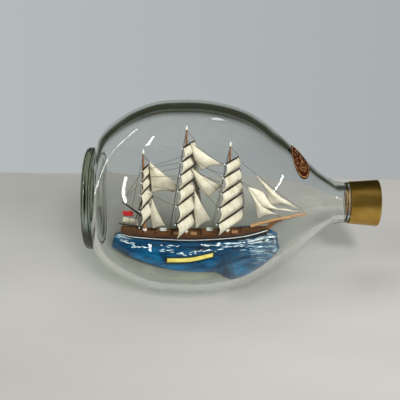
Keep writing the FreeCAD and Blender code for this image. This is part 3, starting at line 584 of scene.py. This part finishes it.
def make_sea():
    rows, cols = 170, 150
    start, end = SEA_RINGS[0][0] * MM, SEA_RINGS[-1][0] * MM
    top, bottom = [], []
    for i in range(rows):
        share = i / (rows - 1)
        x = start + (end - start) * share
        ring = ring_at(INNER, x)
        near, far = sea_reach(x, ring, -1), sea_reach(x, ring, 1)
        fade = max(round_off(min(share, 1 - share) * 24), 0.06)
        for j in range(cols):
            spread = j / (cols - 1)
            y = near + (far - near) * spread
            floor = glass_floor(ring, y)
            edge = min(1.0, min(spread, 1 - spread) * 30)
            height = max(sea_top(x, y, edge) - floor, SEA_THINNEST)
            height *= fade * (0.35 + 0.65 * round_off(edge))
            top.append(Vector((x, y, floor + height)))
            bottom.append(Vector((x, y, floor)))
    faces = [face[::-1] for face in sheet_faces(rows, cols)]
    return new_object("sea_waves", top + bottom, faces)


# Guide lines for flecks of white paint: points (x, y) along each line, the
# widest half width of a fleck, and how many flecks.
FOAM_LINES = [
    ([(-86, -7.0), (-80, -10.0), (-75, -11.4)], 0.50, 12),
    ([(-77, -13.6), (-70, -15.0), (-62, -14.6)], 0.34, 12),
    ([(-55, -17.6), (-50, -17.9), (-44, -17.6)], 0.24, 8),
    ([(-54, -12.2), (-48, -12.4), (-40, -12.0)], 0.26, 8),
    ([(-42, -20.6), (-34, -21.6), (-26, -19.8)], 0.34, 12),
    ([(-28, -18.6), (-18, -17.8), (-8, -17.6)], 0.30, 14),
    ([(-24, -11.6), (-16, -12.2), (-8, -12.0)], 0.34, 14),
    ([(-12, -9.6), (-4, -10.4), (4, -9.8)], 0.50, 18),
    ([(-8, -14.0), (0, -14.6), (9, -13.0)], 0.42, 16),
    ([(4, -9.6), (12, -8.6), (20, -7.0)], 0.44, 16),
    ([(12, -12.0), (20, -11.4), (28, -8.8)], 0.34, 14),
    ([(18, -5.6), (25, -4.6), (33, -2.4)], 0.56, 20),
    ([(4, -19.0), (14, -20.0), (24, -18.0)], 0.24, 10),
    ([(-76, 12.4), (-66, 14.4), (-58, 13.6)], 0.40, 12),
    ([(-54, 14.8), (-44, 16.6), (-34, 15.6)], 0.36, 14),
    ([(-30, 16.8), (-20, 18.4), (-10, 16.4)], 0.40, 14),
    ([(-6, 12.6), (4, 13.6), (14, 11.8)], 0.46, 16),
    ([(14, 9.0), (22, 8.0), (30, 5.0)], 0.44, 14),
    ([(-38, 24.0), (-26, 25.4), (-16, 24.4)], 0.28, 10),
]
FOAM_SEED = 11
FLECK_STEPS = 8
FLECK_ACROSS = 5
FLECK_CROWN = 0.30
FLECK_DEPTH = 0.45 * MM


def add_fleck(verts, faces, start, end, width, bend):
    """One raised fleck of paint from start to end, lying on the sea."""
    first, ring = len(verts), 2 * FLECK_ACROSS - 2
    run = end - start
    normal = Vector((-run.y, run.x, 0)).normalized()
    for i in range(FLECK_STEPS):
        share = i / (FLECK_STEPS - 1)
        arc = math.sin(math.pi * share)
        taper = math.sqrt(max(0.02, arc))
        middle = start + run * share + normal * (bend * arc)
        ragged = 1 + 0.6 * noise.noise(middle / 0.7)
        for j in range(FLECK_ACROSS):
            spread = j / (FLECK_ACROSS - 1) * 2 - 1
            side = (middle + normal * (spread * width * taper * ragged)) * MM
            crown = FLECK_CROWN * math.sqrt(max(0.0, 1 - spread * spread)) * taper - 0.06
            verts.append(Vector((side.x, side.y, sea_top(side.x, side.y) + crown * MM)))
        for j in range(FLECK_ACROSS - 2, 0, -1):
            verts.append(verts[first + i * ring + j] - Vector((0, 0, FLECK_DEPTH)))
    for i in range(FLECK_STEPS - 1):
        for j in range(ring):
            a, b = first + i * ring + j, first + i * ring + (j + 1) % ring
            faces.append((b, a, a + ring, b + ring))
    faces.append(tuple(first + j for j in range(ring)))
    faces.append(tuple(first + (FLECK_STEPS - 1) * ring + j for j in range(ring - 1, -1, -1)))


def make_foam():
    """Broken white lines along the hull and on the slopes."""
    rng = random.Random(FOAM_SEED)
    verts, faces = [], []
    for points, width, count in FOAM_LINES:
        line = spline([(x, y, 0.0) for x, y in points], 16)
        for _ in range(count):
            index = rng.randrange(len(line) - 1)
            ahead = (line[index + 1] - line[index]).normalized()
            sideways = Vector((-ahead.y, ahead.x, 0))
            start = line[index] + sideways * rng.gauss(0, 0.65)
            length = rng.uniform(1.2, 4.4)
            end = start + ahead * length + sideways * rng.uniform(-0.09, 0.09) * length
            half_width = width * rng.uniform(0.25, 0.8)
            add_fleck(verts, faces, start, end, half_width, rng.uniform(-0.12, 0.12) * length)
    return new_object("wave_foam", verts, faces)


# ------------------------------------------------------------------ the sails
SAIL_THICKNESS = 0.30 * MM
FLAG_THICKNESS = 0.22 * MM
EDGE_BAND = 0.02 * MM
# Shares of a square sail's height.
SQUARE_BELLY = 0.30
SQUARE_CURL = 0.05
SQUARE_CREASE = 0.05
SQUARE_HOLLOW = 0.055


def square_sail_frame(node):
    """Corners of a square sail's solid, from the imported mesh: head, then foot."""
    points = [v.co.copy() for v in frame["nodes"][node].data.vertices]
    top, low = max(p.z for p in points), min(p.z for p in points)
    head = [p for p in points if p.z > top - EDGE_BAND]
    foot = [p for p in points if p.z < low + EDGE_BAND]
    return [max(group, key=lambda p: side * p.y) for group in (head, foot) for side in (-1, 1)]


def make_square_sail(node, seed):
    """Curled paper: bellied towards the bow, deepest below its middle."""
    head_a, head_b, foot_a, foot_b = square_sail_frame(node)
    along = (head_b - head_a).normalized()
    forward = Vector((along.y, -along.x, 0))
    height = (head_a - foot_a).z

    def point_at(down, spread):
        edge = 2 * spread - 1
        arc = height * math.sin(math.pi * down ** 0.92)
        depth = SQUARE_BELLY * (1 - 0.34 * edge * edge)
        depth -= SQUARE_CURL * max(0.0, abs(edge) - 0.8) / 0.2
        depth += SQUARE_CREASE * noise.noise(Vector((spread * 2.6, down * 2.2, seed * 5.3)))
        lift = SQUARE_HOLLOW * height * (1 - edge * edge) * max(0.0, 2 * down - 1)
        point = head_a.lerp(foot_a, down).lerp(head_b.lerp(foot_b, down), spread)
        return point + forward * (arc * depth) + Vector((0, 0, lift))

    return thin_sheet(node + "_paper", 22, 26, point_at, SAIL_THICKNESS)


# Fore-and-aft sails, in millimetres from the bottle's axis: place across the
# ship, belly, then the (x, z) points down the edge on the stay and down the
# free edge.
FORE_AFT_SAILS = {
    "mizzen_upper_staysail": (0.0, 2.6, [(-61.3, 29.5), (-51.0, 20.2), (-42.0, 11.5), (-43.4, 5.6)],
                              [(-61.3, 29.5), (-60.8, 21.0), (-60.2, 12.5), (-59.6, 5.2)]),
    "mizzen_lower_staysail": (0.0, 2.4, [(-60.0, 0.9), (-55.4, -9.8), (-49.6, -22.6)],
                              [(-60.0, 0.9), (-60.8, -10.5), (-59.6, -25.0)]),
    "main_upper_staysail": (0.0, 3.6, [(-31.4, 45.6), (-19.5, 36.4), (-7.2, 28.2)],
                            [(-31.4, 45.6), (-28.6, 34.0), (-23.6, 23.8)]),
    "main_middle_staysail": (0.0, 3.2, [(-30.4, 24.6), (-19.6, 17.4), (-7.8, 10.8)],
                             [(-30.4, 24.6), (-25.2, 12.2), (-17.2, 1.8)]),
    "main_lower_staysail": (0.0, 2.4, [(-28.2, 7.5), (-22.0, -4.2), (-14.6, -16.7)],
                            [(-28.2, 7.5), (-28.4, -8.4), (-26.8, -24.2)]),
    "outer_jib": (0.8, 3.2, [(17.6, 20.4), (35.4, 4.4), (43.8, -1.9), (51.4, -7.6)],
                  [(17.6, 20.4), (24.8, 9.0), (27.6, -0.8), (29.1, -3.6)]),
    "middle_jib": (0.0, 3.6, [(11.4, 11.0), (22.4, 7.6), (25.6, 2.8), (30.3, -3.3), (37.2, -6.5),
                              (49.2, -8.8)],
                   [(11.4, 11.0), (15.0, 4.0), (19.8, -3.0), (25.9, -8.4)]),
    "inner_jib": (-0.8, 3.4, [(11.4, 10.2), (18.4, 2.6), (25.5, -5.9), (30.2, -8.9), (35.6, -11.4)],
                  [(11.4, 10.2), (16.2, -1.0), (20.3, -15.1)]),
    "spanker": (0.0, 1.2, [(-70.4, -17.0), (-70.6, -22.6)], [(-81.6, -15.4), (-83.2, -20.7)]),
}


def even_points(points, count):
    """Points spaced evenly along a smooth line."""
    line = spline([(x, z, 0.0) for x, z in points], 12)
    lengths = [0.0]
    for low, high in zip(line, line[1:]):
        lengths.append(lengths[-1] + (high - low).length)
    result = []
    for step in range(count):
        place = lengths[-1] * step / (count - 1)
        index = max(i for i, value in enumerate(lengths[:-1]) if value <= place + 1e-9)
        share = (place - lengths[index]) / max(lengths[index + 1] - lengths[index], 1e-9)
        result.append(line[index].lerp(line[index + 1], min(share, 1.0)))
    return result


def make_fore_aft_sail(node, seed):
    """Stiff paper set on a stay; its free edges curl towards the near side."""
    across, belly, luff, leech = FORE_AFT_SAILS[node]
    rows = 26
    lines = [even_points(leech, rows), even_points(luff, rows)]
    if (lines[0][0] - lines[1][0]).length < 0.1:
        for line in lines:
            line[0] = line[0].lerp(line[1], 0.2)

    def point_at(down, spread):
        free, held = (line[round(down * (rows - 1))] for line in lines)
        point = free.lerp(held, spread)
        arc = math.sin(math.pi * spread)
        bulge = math.sin(math.pi * down) * (0.35 + 0.65 * (1 - spread)) * 0.75
        bulge += arc * 0.55 * math.sin(math.pi * min(1.0, 0.15 + down * 0.85))
        foot_lift = arc * (held - free).length * 0.10 * down ** 5
        crease = noise.noise(Vector((spread * 2.2, down * 2.6, seed * 3.7)))
        side = across - belly * bulge + crease * 0.5 * math.sin(math.pi * down)
        return Vector((point.x * MM, side * MM, AXIS_Z + (point.y + foot_lift) * MM))

    return thin_sheet(node + "_paper", rows, 22, point_at, SAIL_THICKNESS)


def make_flag():
    """A small paper flag with a wave in it."""
    low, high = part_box("red_flag")
    size = high - low

    def point_at(down, spread):
        z = high.z - 0.7 * MM - (size.z - 0.8 * MM) * down + 0.08 * size.x * spread
        wave = 0.75 * MM * math.sin(spread * 7.5 + down * 1.32) * (0.25 + 0.75 * spread)
        return Vector((high.x - size.x * spread, wave, z + 0.15 * MM * math.sin(spread * 6)))

    return thin_sheet("flag_paper", 12, 26, point_at, FLAG_THICKNESS)


# -------------------------------------------------------- plate on the sea
PLATE_LENGTH = 36.0 * MM
PLATE_HEIGHT = 5.2 * MM
PLATE_BORDER = 1.0 * MM
PLATE_SLOPE = math.radians(44.0)
PLATE_BEND = 5.0 * MM
PLATE_CENTRE = sum(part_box("nameplate_border"), Vector()) / 2


def plate_sheet(name, border, thickness, lift):
    """A strip of card on the sea's front slope, its right half bent upwards."""
    length, height = PLATE_LENGTH - 2 * border, PLATE_HEIGHT - 2 * border
    up = Vector((0, math.cos(PLATE_SLOPE), math.sin(PLATE_SLOPE)))
    out = Vector((0, -math.sin(PLATE_SLOPE), math.cos(PLATE_SLOPE)))

    def point_at(down, spread):
        along = (spread - 0.5) * length
        bent = math.hypot(along, PLATE_BEND) + along
        rise = 0.02 * along + 0.13 * bent - 1.6 * MM + (0.5 - down) * height
        bow = 0.35 * MM * math.cos(math.pi * along / length)
        return PLATE_CENTRE + Vector((along, 0, 0)) + up * rise + out * (lift + bow)

    return thin_sheet(name, 8, 44, point_at, thickness)


# ------------------------------------------------------------ cap and stopper
# Turned ends close on their axis from a ring of this radius.
PIN = 0.3 * MM
CAP_WALL = 0.7 * MM
CAP_END = 1.2 * MM
CAP_FLARE = 1.8 * MM
CAP_ROUND = 1.3 * MM
CORK_ROUND = 1.0 * MM
DISC_ROUND = 0.3 * MM


def make_cap():
    """A hollow cap: up its inside from the middle, round its mouth, back outside."""
    low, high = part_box("stopper_cap")
    start, end = low.x, high.x
    tip_r = (high.y - low.y) / 2
    neck_r = tip_r - CAP_FLARE
    slope = CAP_FLARE / (end - start)
    inside_end = end - CAP_END
    outline = [(inside_end, PIN), (inside_end, tip_r - CAP_WALL - 0.5 * MM),
               (inside_end - 4 * MM, tip_r - CAP_WALL - slope * 4 * MM),
               (start + 1.0 * MM, neck_r - CAP_WALL), (start, neck_r - CAP_WALL / 2)]
    # Distance from the mouth and rise above a cylinder, in millimetres.
    for x, rise in ((0.12, -0.08), (0.5, 0.10), (1.1, 0.14), (1.7, 0.02 + slope * 1.7),
                    (6.0, slope * 6.0), (13.0, slope * 13.0)):
        outline.append((start + x * MM, neck_r + rise * MM))
    outline += [(end - 2.4 * MM, tip_r - slope * 2.4 * MM - 0.02 * MM)]
    outline += arc_points(end - CAP_ROUND, tip_r - CAP_ROUND, CAP_ROUND, 80, 0, 9)
    # The end's shallow dish: its depth, and the distance in from the cap's side.
    outline += [(end - depth * MM, tip_r - inset * MM)
                for depth, inset in ((0.0, 3.0), (0.25, 3.6), (0.3, 8.0))]
    return turned("cap_shell", outline + [(end - 0.3 * MM, PIN)], 160)


def make_cork():
    low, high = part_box("stopper_cork")
    radius = (high.y - low.y) / 2
    outline = [(low.x + 0.05 * MM, PIN), (low.x, radius * 0.5), (low.x, radius - 1.4 * MM)]
    outline += arc_points(low.x + CORK_ROUND, radius - CORK_ROUND, CORK_ROUND, 180, 90, 6)
    outline += [(low.x + (high.x - low.x) * share, radius) for share in (0.3, 0.5, 0.7, 0.9, 1.0)]
    return turned("cork_body", outline + [(high.x, PIN)])


def make_disc():
    low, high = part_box("stopper_disc")
    radius = (high.y - low.y) / 2
    outline = [(low.x, PIN), (low.x, radius - 0.5 * MM)]
    outline += arc_points(low.x + DISC_ROUND, radius - 0.45 * MM, DISC_ROUND, 180, 90, 4)
    outline += [(high.x - DISC_ROUND, radius - 0.02 * MM)]
    outline += arc_points(high.x - DISC_ROUND, radius - 0.32 * MM, DISC_ROUND, 90, 0, 4)
    return turned("disc_body", outline + [(high.x, PIN)])


# ------------------------------------------------------------------ the label
LABEL_HALF_LENGTH = 14.5 * MM
LABEL_HALF_WIDTH = 8.5 * MM
LABEL_BASE = Vector((26.5 * MM, 0, AXIS_Z + 8 * MM))
LABEL_TURNS = (("X", 18.0), ("Y", 35.0), ("Z", 110.0))
LABEL_LIFT = (0.06 * MM, 0.34 * MM)


def make_label():
    """The oval label, laid on the glass a hair above its surface."""
    turn = Matrix.Identity(3)
    for axis, angle in LABEL_TURNS:
        turn = turn @ Matrix.Rotation(math.radians(angle), 3, axis)
    long_way, wide_way, out = (turn @ axis for axis in Matrix.Identity(3))

    def on_glass(spread, angle, lift):
        start = LABEL_BASE + long_way * (spread * LABEL_HALF_LENGTH * math.cos(angle))
        start += wide_way * (spread * LABEL_HALF_WIDTH * math.sin(angle))
        low, high = 0.0, 60 * MM
        for _ in range(26):
            reach = (low + high) / 2
            x, y, z = start + out * reach
            glass = ring_radius(*ring_at(OUTER, x), math.atan2(y, z - AXIS_Z))
            above = math.hypot(y, z - AXIS_Z) > glass + lift
            low, high = (low, reach) if above else (reach, high)
        return start + out * low

    steps, rings = 72, 14
    back, face = LABEL_LIFT
    layers = [(i / rings, face) for i in range(1, rings)]
    layers += [(0.985, face - 0.04 * MM), (1.0, face - 0.14 * MM), (1.0, back)]
    layers += [(i / rings, back) for i in range(rings - 1, 0, -3)]
    angles = [2 * math.pi * k / steps for k in range(steps)]
    tube = [[on_glass(spread, angle, lift) for angle in angles] for spread, lift in layers]
    uvs = [(0.5 + 0.5 * spread * math.cos(angle), 0.5 + 0.5 * spread * math.sin(angle))
           for spread, _ in layers for angle in angles]
    centres = [on_glass(0, 0, face), on_glass(0, 0, back)]
    return ring_tube("label_oval", tube, steps, centres, uvs + [(0.5, 0.5)] * 2)


# ------------------------------------------------------ build the new pieces
GLASS = glass_material()
GOLD = gold_material()
SEA = sea_material()
LABEL = label_material()
SAIL = paper_sail_material("sail_paper", 7.0, 0)
JIB = paper_sail_material("staysail_paper", 9.0, 1)
FOAM = mottled("foam_paint", (0.62, 0.70, 0.74), (0.86, 0.89, 0.90), 900.0, (0.25, 0.5), 0.3, coat=0.4)
WHITE = mottled("white_enamel", (0.60, 0.60, 0.58), (0.82, 0.82, 0.80), 700.0, (0.25, 0.45), 0.12, coat=0.3)
CORK = mottled("cork_grain", (0.20, 0.105, 0.045), (0.52, 0.34, 0.18), 420.0, (0.7, 0.95), 0.6,
               bump_distance=0.4 * MM)
PLASTIC = mottled("black_plastic", (0.010, 0.010, 0.011), (0.022, 0.022, 0.024), 500.0, (0.35, 0.55), 0.2)
RED = mottled("flag_red", (0.38, 0.012, 0.016), (0.62, 0.035, 0.035), 330.0, (0.55, 0.75), 0.2)
YELLOW = mottled("plate_yellow", (0.38, 0.30, 0.06), (0.54, 0.47, 0.15), 420.0, (0.4, 0.6), 0.15,
                 stretch=(0.5, 1, 1), coat=0.2)
PLATE_BLACK = mottled("plate_black", (0.006, 0.006, 0.006), (0.02, 0.02, 0.02), 500.0, (0.4, 0.6), 0.2)
HULL_BLACK = wood_material("hull_black", (0.004, 0.004, 0.005), (0.020, 0.018, 0.018), 0.36, 0.4)
BLACK_PAINT = ((0.004, 0.004, 0.005), (0.020, 0.018, 0.018))
HULL_BLACK = wood_material("hull_black", *BLACK_PAINT, 0.36, 0.4)
TOPSIDE = two_tone("topside_paint", BLACK_PAINT, ((0.022, 0.008, 0.004), (0.105, 0.042, 0.018)),
                   -29.7 * MM, 0.25 * MM)
# The deck's planks are coloured darker than their wood: painted shade between the bulwarks.
DECK_PLANKS_AND_SHADE = planked_material("deck_planks", (0.06, 0.026, 0.011), (0.17, 0.080, 0.036), 0.9 * MM)
HATCH = wood_material("hatch_wood", (0.20, 0.10, 0.04), (0.40, 0.23, 0.11), 0.55, 0.1)
BOWSPRIT = wood_material("bowsprit_wood", (0.17, 0.080, 0.035), (0.46, 0.28, 0.15), 0.5, 0.1)
HOUSE = wood_material("house_wood", (0.06, 0.022, 0.009), (0.20, 0.085, 0.035), 0.45, 0.3)
FITTING = wood_material("fitting_wood", (0.04, 0.018, 0.008), (0.14, 0.06, 0.025), 0.5, 0.2, (900, 900, 900))
MAST = wood_material("mast_wood", (0.12, 0.042, 0.016), (0.34, 0.145, 0.062), 0.45, 0.2, (900, 900, 50))
YARD = wood_material("yard_wood", (0.006, 0.004, 0.003), (0.030, 0.015, 0.009), 0.8, 0.0, (500, 500, 900))
WIRE = mottled("hinge_wire", (0.28, 0.27, 0.25), (0.55, 0.54, 0.50), 600.0, (0.25, 0.5), 0.1, metallic=1.0)
THREAD = mottled("waxed_thread", (0.035, 0.024, 0.016), (0.13, 0.10, 0.07), 2400.0, (0.5, 0.8), 0.5, coat=0.1)


def finish_piece(obj, mat, body, node, slot):
    """Turns the faces outwards, gives the piece its material, hangs it on its body and hides the imported
    node it stands in for.
    """
    bpy.context.view_layer.objects.active = obj
    obj.select_set(True)
    bpy.ops.object.mode_set(mode="EDIT")
    bpy.ops.mesh.select_all(action="SELECT")
    bpy.ops.mesh.normals_make_consistent(inside=False)
    bpy.ops.object.mode_set(mode="OBJECT")
    obj.select_set(False)
    obj.data.materials.append(mat)
    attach(obj, body)
    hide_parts(node)


for piece, mat, body, node, slot in (
        (make_bottle(), GLASS, "bottle", "bottle", "bottle_glass"),
        (make_cap(), GOLD, "cap", "stopper_cap", "gold_metal"),
        (make_cork(), CORK, "stopper", "stopper_cork", "cork"),
        (make_disc(), PLASTIC, "stopper", "stopper_disc", "black_plastic"),
        (make_label(), LABEL, "bottle", "shoulder_label", "label_paper"),
        (make_sea(), SEA, "bottle", "sea", "sea_putty"),
        (make_foam(), FOAM, "bottle", "wave_crests", "white_paint"),
        (make_flag(), RED, "bottle", "red_flag", "red_paper"),
        (plate_sheet("plate_edge", 0.0, 0.40 * MM, 0.2 * MM), PLATE_BLACK, "bottle",
         "nameplate_border", "plate_black"),
        (plate_sheet("plate_card", PLATE_BORDER, 0.25 * MM, 0.50 * MM), YELLOW, "bottle",
         "nameplate", "plate_yellow")):
    finish_piece(piece, mat, body, node, slot)

SUIT = ["royal", "topgallant", "upper_topsail", "lower_topsail", "course"]
SQUARE_SAILS = [f"{mast}_{sail}" for mast, sails in (
    ("fore", SUIT), ("main", ["skysail"] + SUIT), ("mizzen", SUIT[:-1])) for sail in sails]
for seed, node in enumerate(SQUARE_SAILS):
    finish_piece(make_square_sail(node, seed), SAIL, "bottle", node, "sail_paper")
for seed, node in enumerate(FORE_AFT_SAILS):
    finish_piece(make_fore_aft_sail(node, seed), JIB, "bottle", node, "sail_paper")

# --------------------------------------------- finish the carried-over nodes
KEPT = (
    (HULL_BLACK, ["hull"]), (TOPSIDE, ["topsides"]), (DECK_PLANKS_AND_SHADE, ["deck", "raised_decks"]),
    (HOUSE, ["stem_knee", "deckhouses"]), (HATCH, ["hatches"]), (FITTING, ["deck_fittings"]),
    (WHITE, ["hull_stripe", "lifeboats", "mast_tips", "mast_bands", "yard_beads"]),
    (MAST, ["fore_mast", "main_mast", "mizzen_mast"]), (BOWSPRIT, ["bowsprit"]),
    (YARD, ["fore_yards", "main_yards", "mizzen_yards", "gaff", "boom"]),
    (WIRE, ["mast_hinge_wires"]), (THREAD, ["standing_rigging", "running_rigging"]),
)
for mat, nodes in KEPT:
    for node in nodes:
        mesh = frame["nodes"][node].data
        mesh.materials.clear()
        mesh.materials.append(mat)

# --------------------------------------------------------------- surroundings
TABLE_BACK = 0.170
TABLE_FRONT = -1.6
TABLE_HALF_WIDTH = 1.7
TABLE_EDGE = 0.004
TABLE_THICKNESS = 0.03
TABLE_EDGE_STEPS = 6


def make_table():
    """A pale painted table top with a rounded back edge."""
    outline = [(TABLE_FRONT, 0.0), (TABLE_BACK - TABLE_EDGE, 0.0)]
    for step in range(1, TABLE_EDGE_STEPS + 1):
        angle = math.pi / 2 * (1 - step / TABLE_EDGE_STEPS)
        outline.append((TABLE_BACK - TABLE_EDGE + TABLE_EDGE * math.cos(angle),
                        -TABLE_EDGE + TABLE_EDGE * math.sin(angle)))
    outline += [(TABLE_BACK, -TABLE_THICKNESS), (TABLE_FRONT, -TABLE_THICKNESS)]
    count = len(outline)
    verts = [(side * TABLE_HALF_WIDTH, y, z) for side in (-1, 1) for y, z in outline]
    faces = [(i, (i + 1) % count, count + (i + 1) % count, count + i) for i in range(count)]
    faces += [tuple(range(count))[::-1], tuple(range(count, 2 * count))]
    return new_object("table", verts, faces, smooth=False)


table = make_table()
mat, tree, bsdf = new_material("table_paint")
grain = noise_at(tree, coordinates(tree, stretch=(0.3, 1, 1)), 7.0, 6.0)
paint = ramp(tree, grain, [(0.3, (0.222, 0.221, 0.213)), (0.7, (0.268, 0.267, 0.258))])
set_inputs(bsdf, {"Base Color": paint, "Roughness": 0.45})
table.data.materials.append(mat)

scene = bpy.context.scene
scene.view_settings.view_transform = "Standard"
scene.view_settings.look = "None"
cycles = scene.cycles
cycles.use_denoising = True
cycles.max_bounces = 24
cycles.transmission_bounces = 24
cycles.transparent_max_bounces = 32
cycles.glossy_bounces = 8
cycles.diffuse_bounces = 4
cycles.sample_clamp_indirect = 4.0
cycles.caustics_refractive = False
cycles.caustics_reflective = False

# The room: a blue-grey wall on the far side, dimmer above and on the near side.
WALL_LEFT = (0.475, 0.512, 0.520)
WALL_RIGHT = (0.372, 0.392, 0.402)
ROOM_DARK = (0.040, 0.043, 0.028)

world = bpy.data.worlds.new("room")
scene.world = world
world.use_nodes = True
tree = world.node_tree
direction = split(tree, coordinates(tree, "Generated"))
wall = mix_colour(tree, map_range(tree, direction[0], (-0.35, 0.45)), WALL_LEFT, WALL_RIGHT)
upper = map_range(tree, direction[2], (-0.16, 0.14), smooth=True)
near = map_range(tree, direction[1], (0.25, -0.35), smooth=True)
room = mix_colour(tree, calc(tree, "MAXIMUM", upper, near), wall, ROOM_DARK)
path = add_node(tree, "LightPath", {})
seen = mix_colour(tree, path.outputs["Is Camera Ray"], room, wall)
set_inputs(tree.nodes["Background"], {"Color": seen, "Strength": 1.0})

TARGET = Vector((0, 0, 0.055))
TABLE_BEHIND = Vector((0, 0.12, 0))
WARM_WHITE = (1.0, 0.985, 0.96)


def area_light(name, place, size, power, colour=WARM_WHITE, target=TARGET):
    light = bpy.data.lights.new(name, "AREA")
    light.shape = "RECTANGLE"
    light.size, light.size_y = size
    light.energy = power
    light.color = colour
    obj = bpy.data.objects.new(name, light)
    scene.collection.objects.link(obj)
    obj.location = place
    obj.rotation_euler = (Vector(place) - target).to_track_quat("Z", "Y").to_euler()
    obj.visible_camera = False
    obj.visible_transmission = False
    return obj


def toward(azimuth, elevation, distance=1.25):
    """A place seen from the bottle in a given direction, in degrees."""
    azimuth, elevation = math.radians(azimuth), math.radians(elevation)
    return TARGET + distance * Vector((math.cos(elevation) * math.cos(azimuth),
                                       math.cos(elevation) * math.sin(azimuth), math.sin(elevation)))


def window(name, centre, panes, pane, gap, radiance):
    """A small window: a grid of bright panes that the glass mirrors."""
    facing = (centre - TARGET).normalized()
    right = Vector((0, 0, 1)).cross(facing).normalized()
    up = facing.cross(right)
    power = radiance * math.pi * pane[0] * pane[1]
    for column in range(panes[0]):
        for row in range(panes[1]):
            shift = right * ((column - (panes[0] - 1) / 2) * (pane[0] + gap))
            shift += up * ((row - (panes[1] - 1) / 2) * (pane[1] + gap))
            area_light(f"{name}_{column}_{row}", centre + shift, pane, power, target=TARGET + shift)


# Narrow windows make the glints on the glass; broad soft lights, which the
# glass does not mirror, light the ship and the table.
window("tall_window", toward(-149, 35, 1.45), (1, 3), (0.034, 0.22), 0.03, 24.0)
window("slit_window", toward(-113, 32), (1, 1), (0.05, 0.22), 0.0, 20.0)
window("right_window", toward(-35, 34), (1, 1), (0.60, 0.03), 0.0, 24.0)
window("sky_light", toward(-45, 72), (1, 1), (0.20, 0.10), 0.0, 10.0)
for soft in (area_light("key", toward(-72, 43, 1.4), (0.26, 0.26), 24.0),
             area_light("fill", (0.95, -1.05, 0.62), (0.8, 0.6), 34.0, (1.0, 0.985, 0.95)),
             area_light("left_fill", (-0.85, -0.75, 1.05), (0.45, 0.45), 7.0),
             area_light("back_fill", (-0.2, 0.75, 1.2), (1.2, 0.5), 15.0, (1.0, 0.99, 0.97),
                        TABLE_BEHIND)):
    soft.visible_glossy = False

# ------------------------------------------------------------------ camera
CAMERA_DISTANCE = 0.620
CAMERA_ELEVATION = math.radians(24.3)
CAMERA_ROLL = math.radians(0.97)
CAMERA_LENS = 74.7
AIM = Vector((-0.024, 0, AXIS_Z))

camera_data = bpy.data.cameras.new("camera")
camera_data.lens = CAMERA_LENS
camera_data.sensor_width = 36.0
camera_data.clip_start = 0.01
camera_data.clip_end = 20.0
camera = bpy.data.objects.new("camera", camera_data)
scene.collection.objects.link(camera)
outward = Vector((0, -math.cos(CAMERA_ELEVATION), math.sin(CAMERA_ELEVATION)))
camera.location = AIM + outward * CAMERA_DISTANCE
turn = outward.to_track_quat("Z", "Y") @ Matrix.Rotation(CAMERA_ROLL, 3, "Z").to_quaternion()
camera.rotation_euler = turn.to_euler()
scene.camera = camera
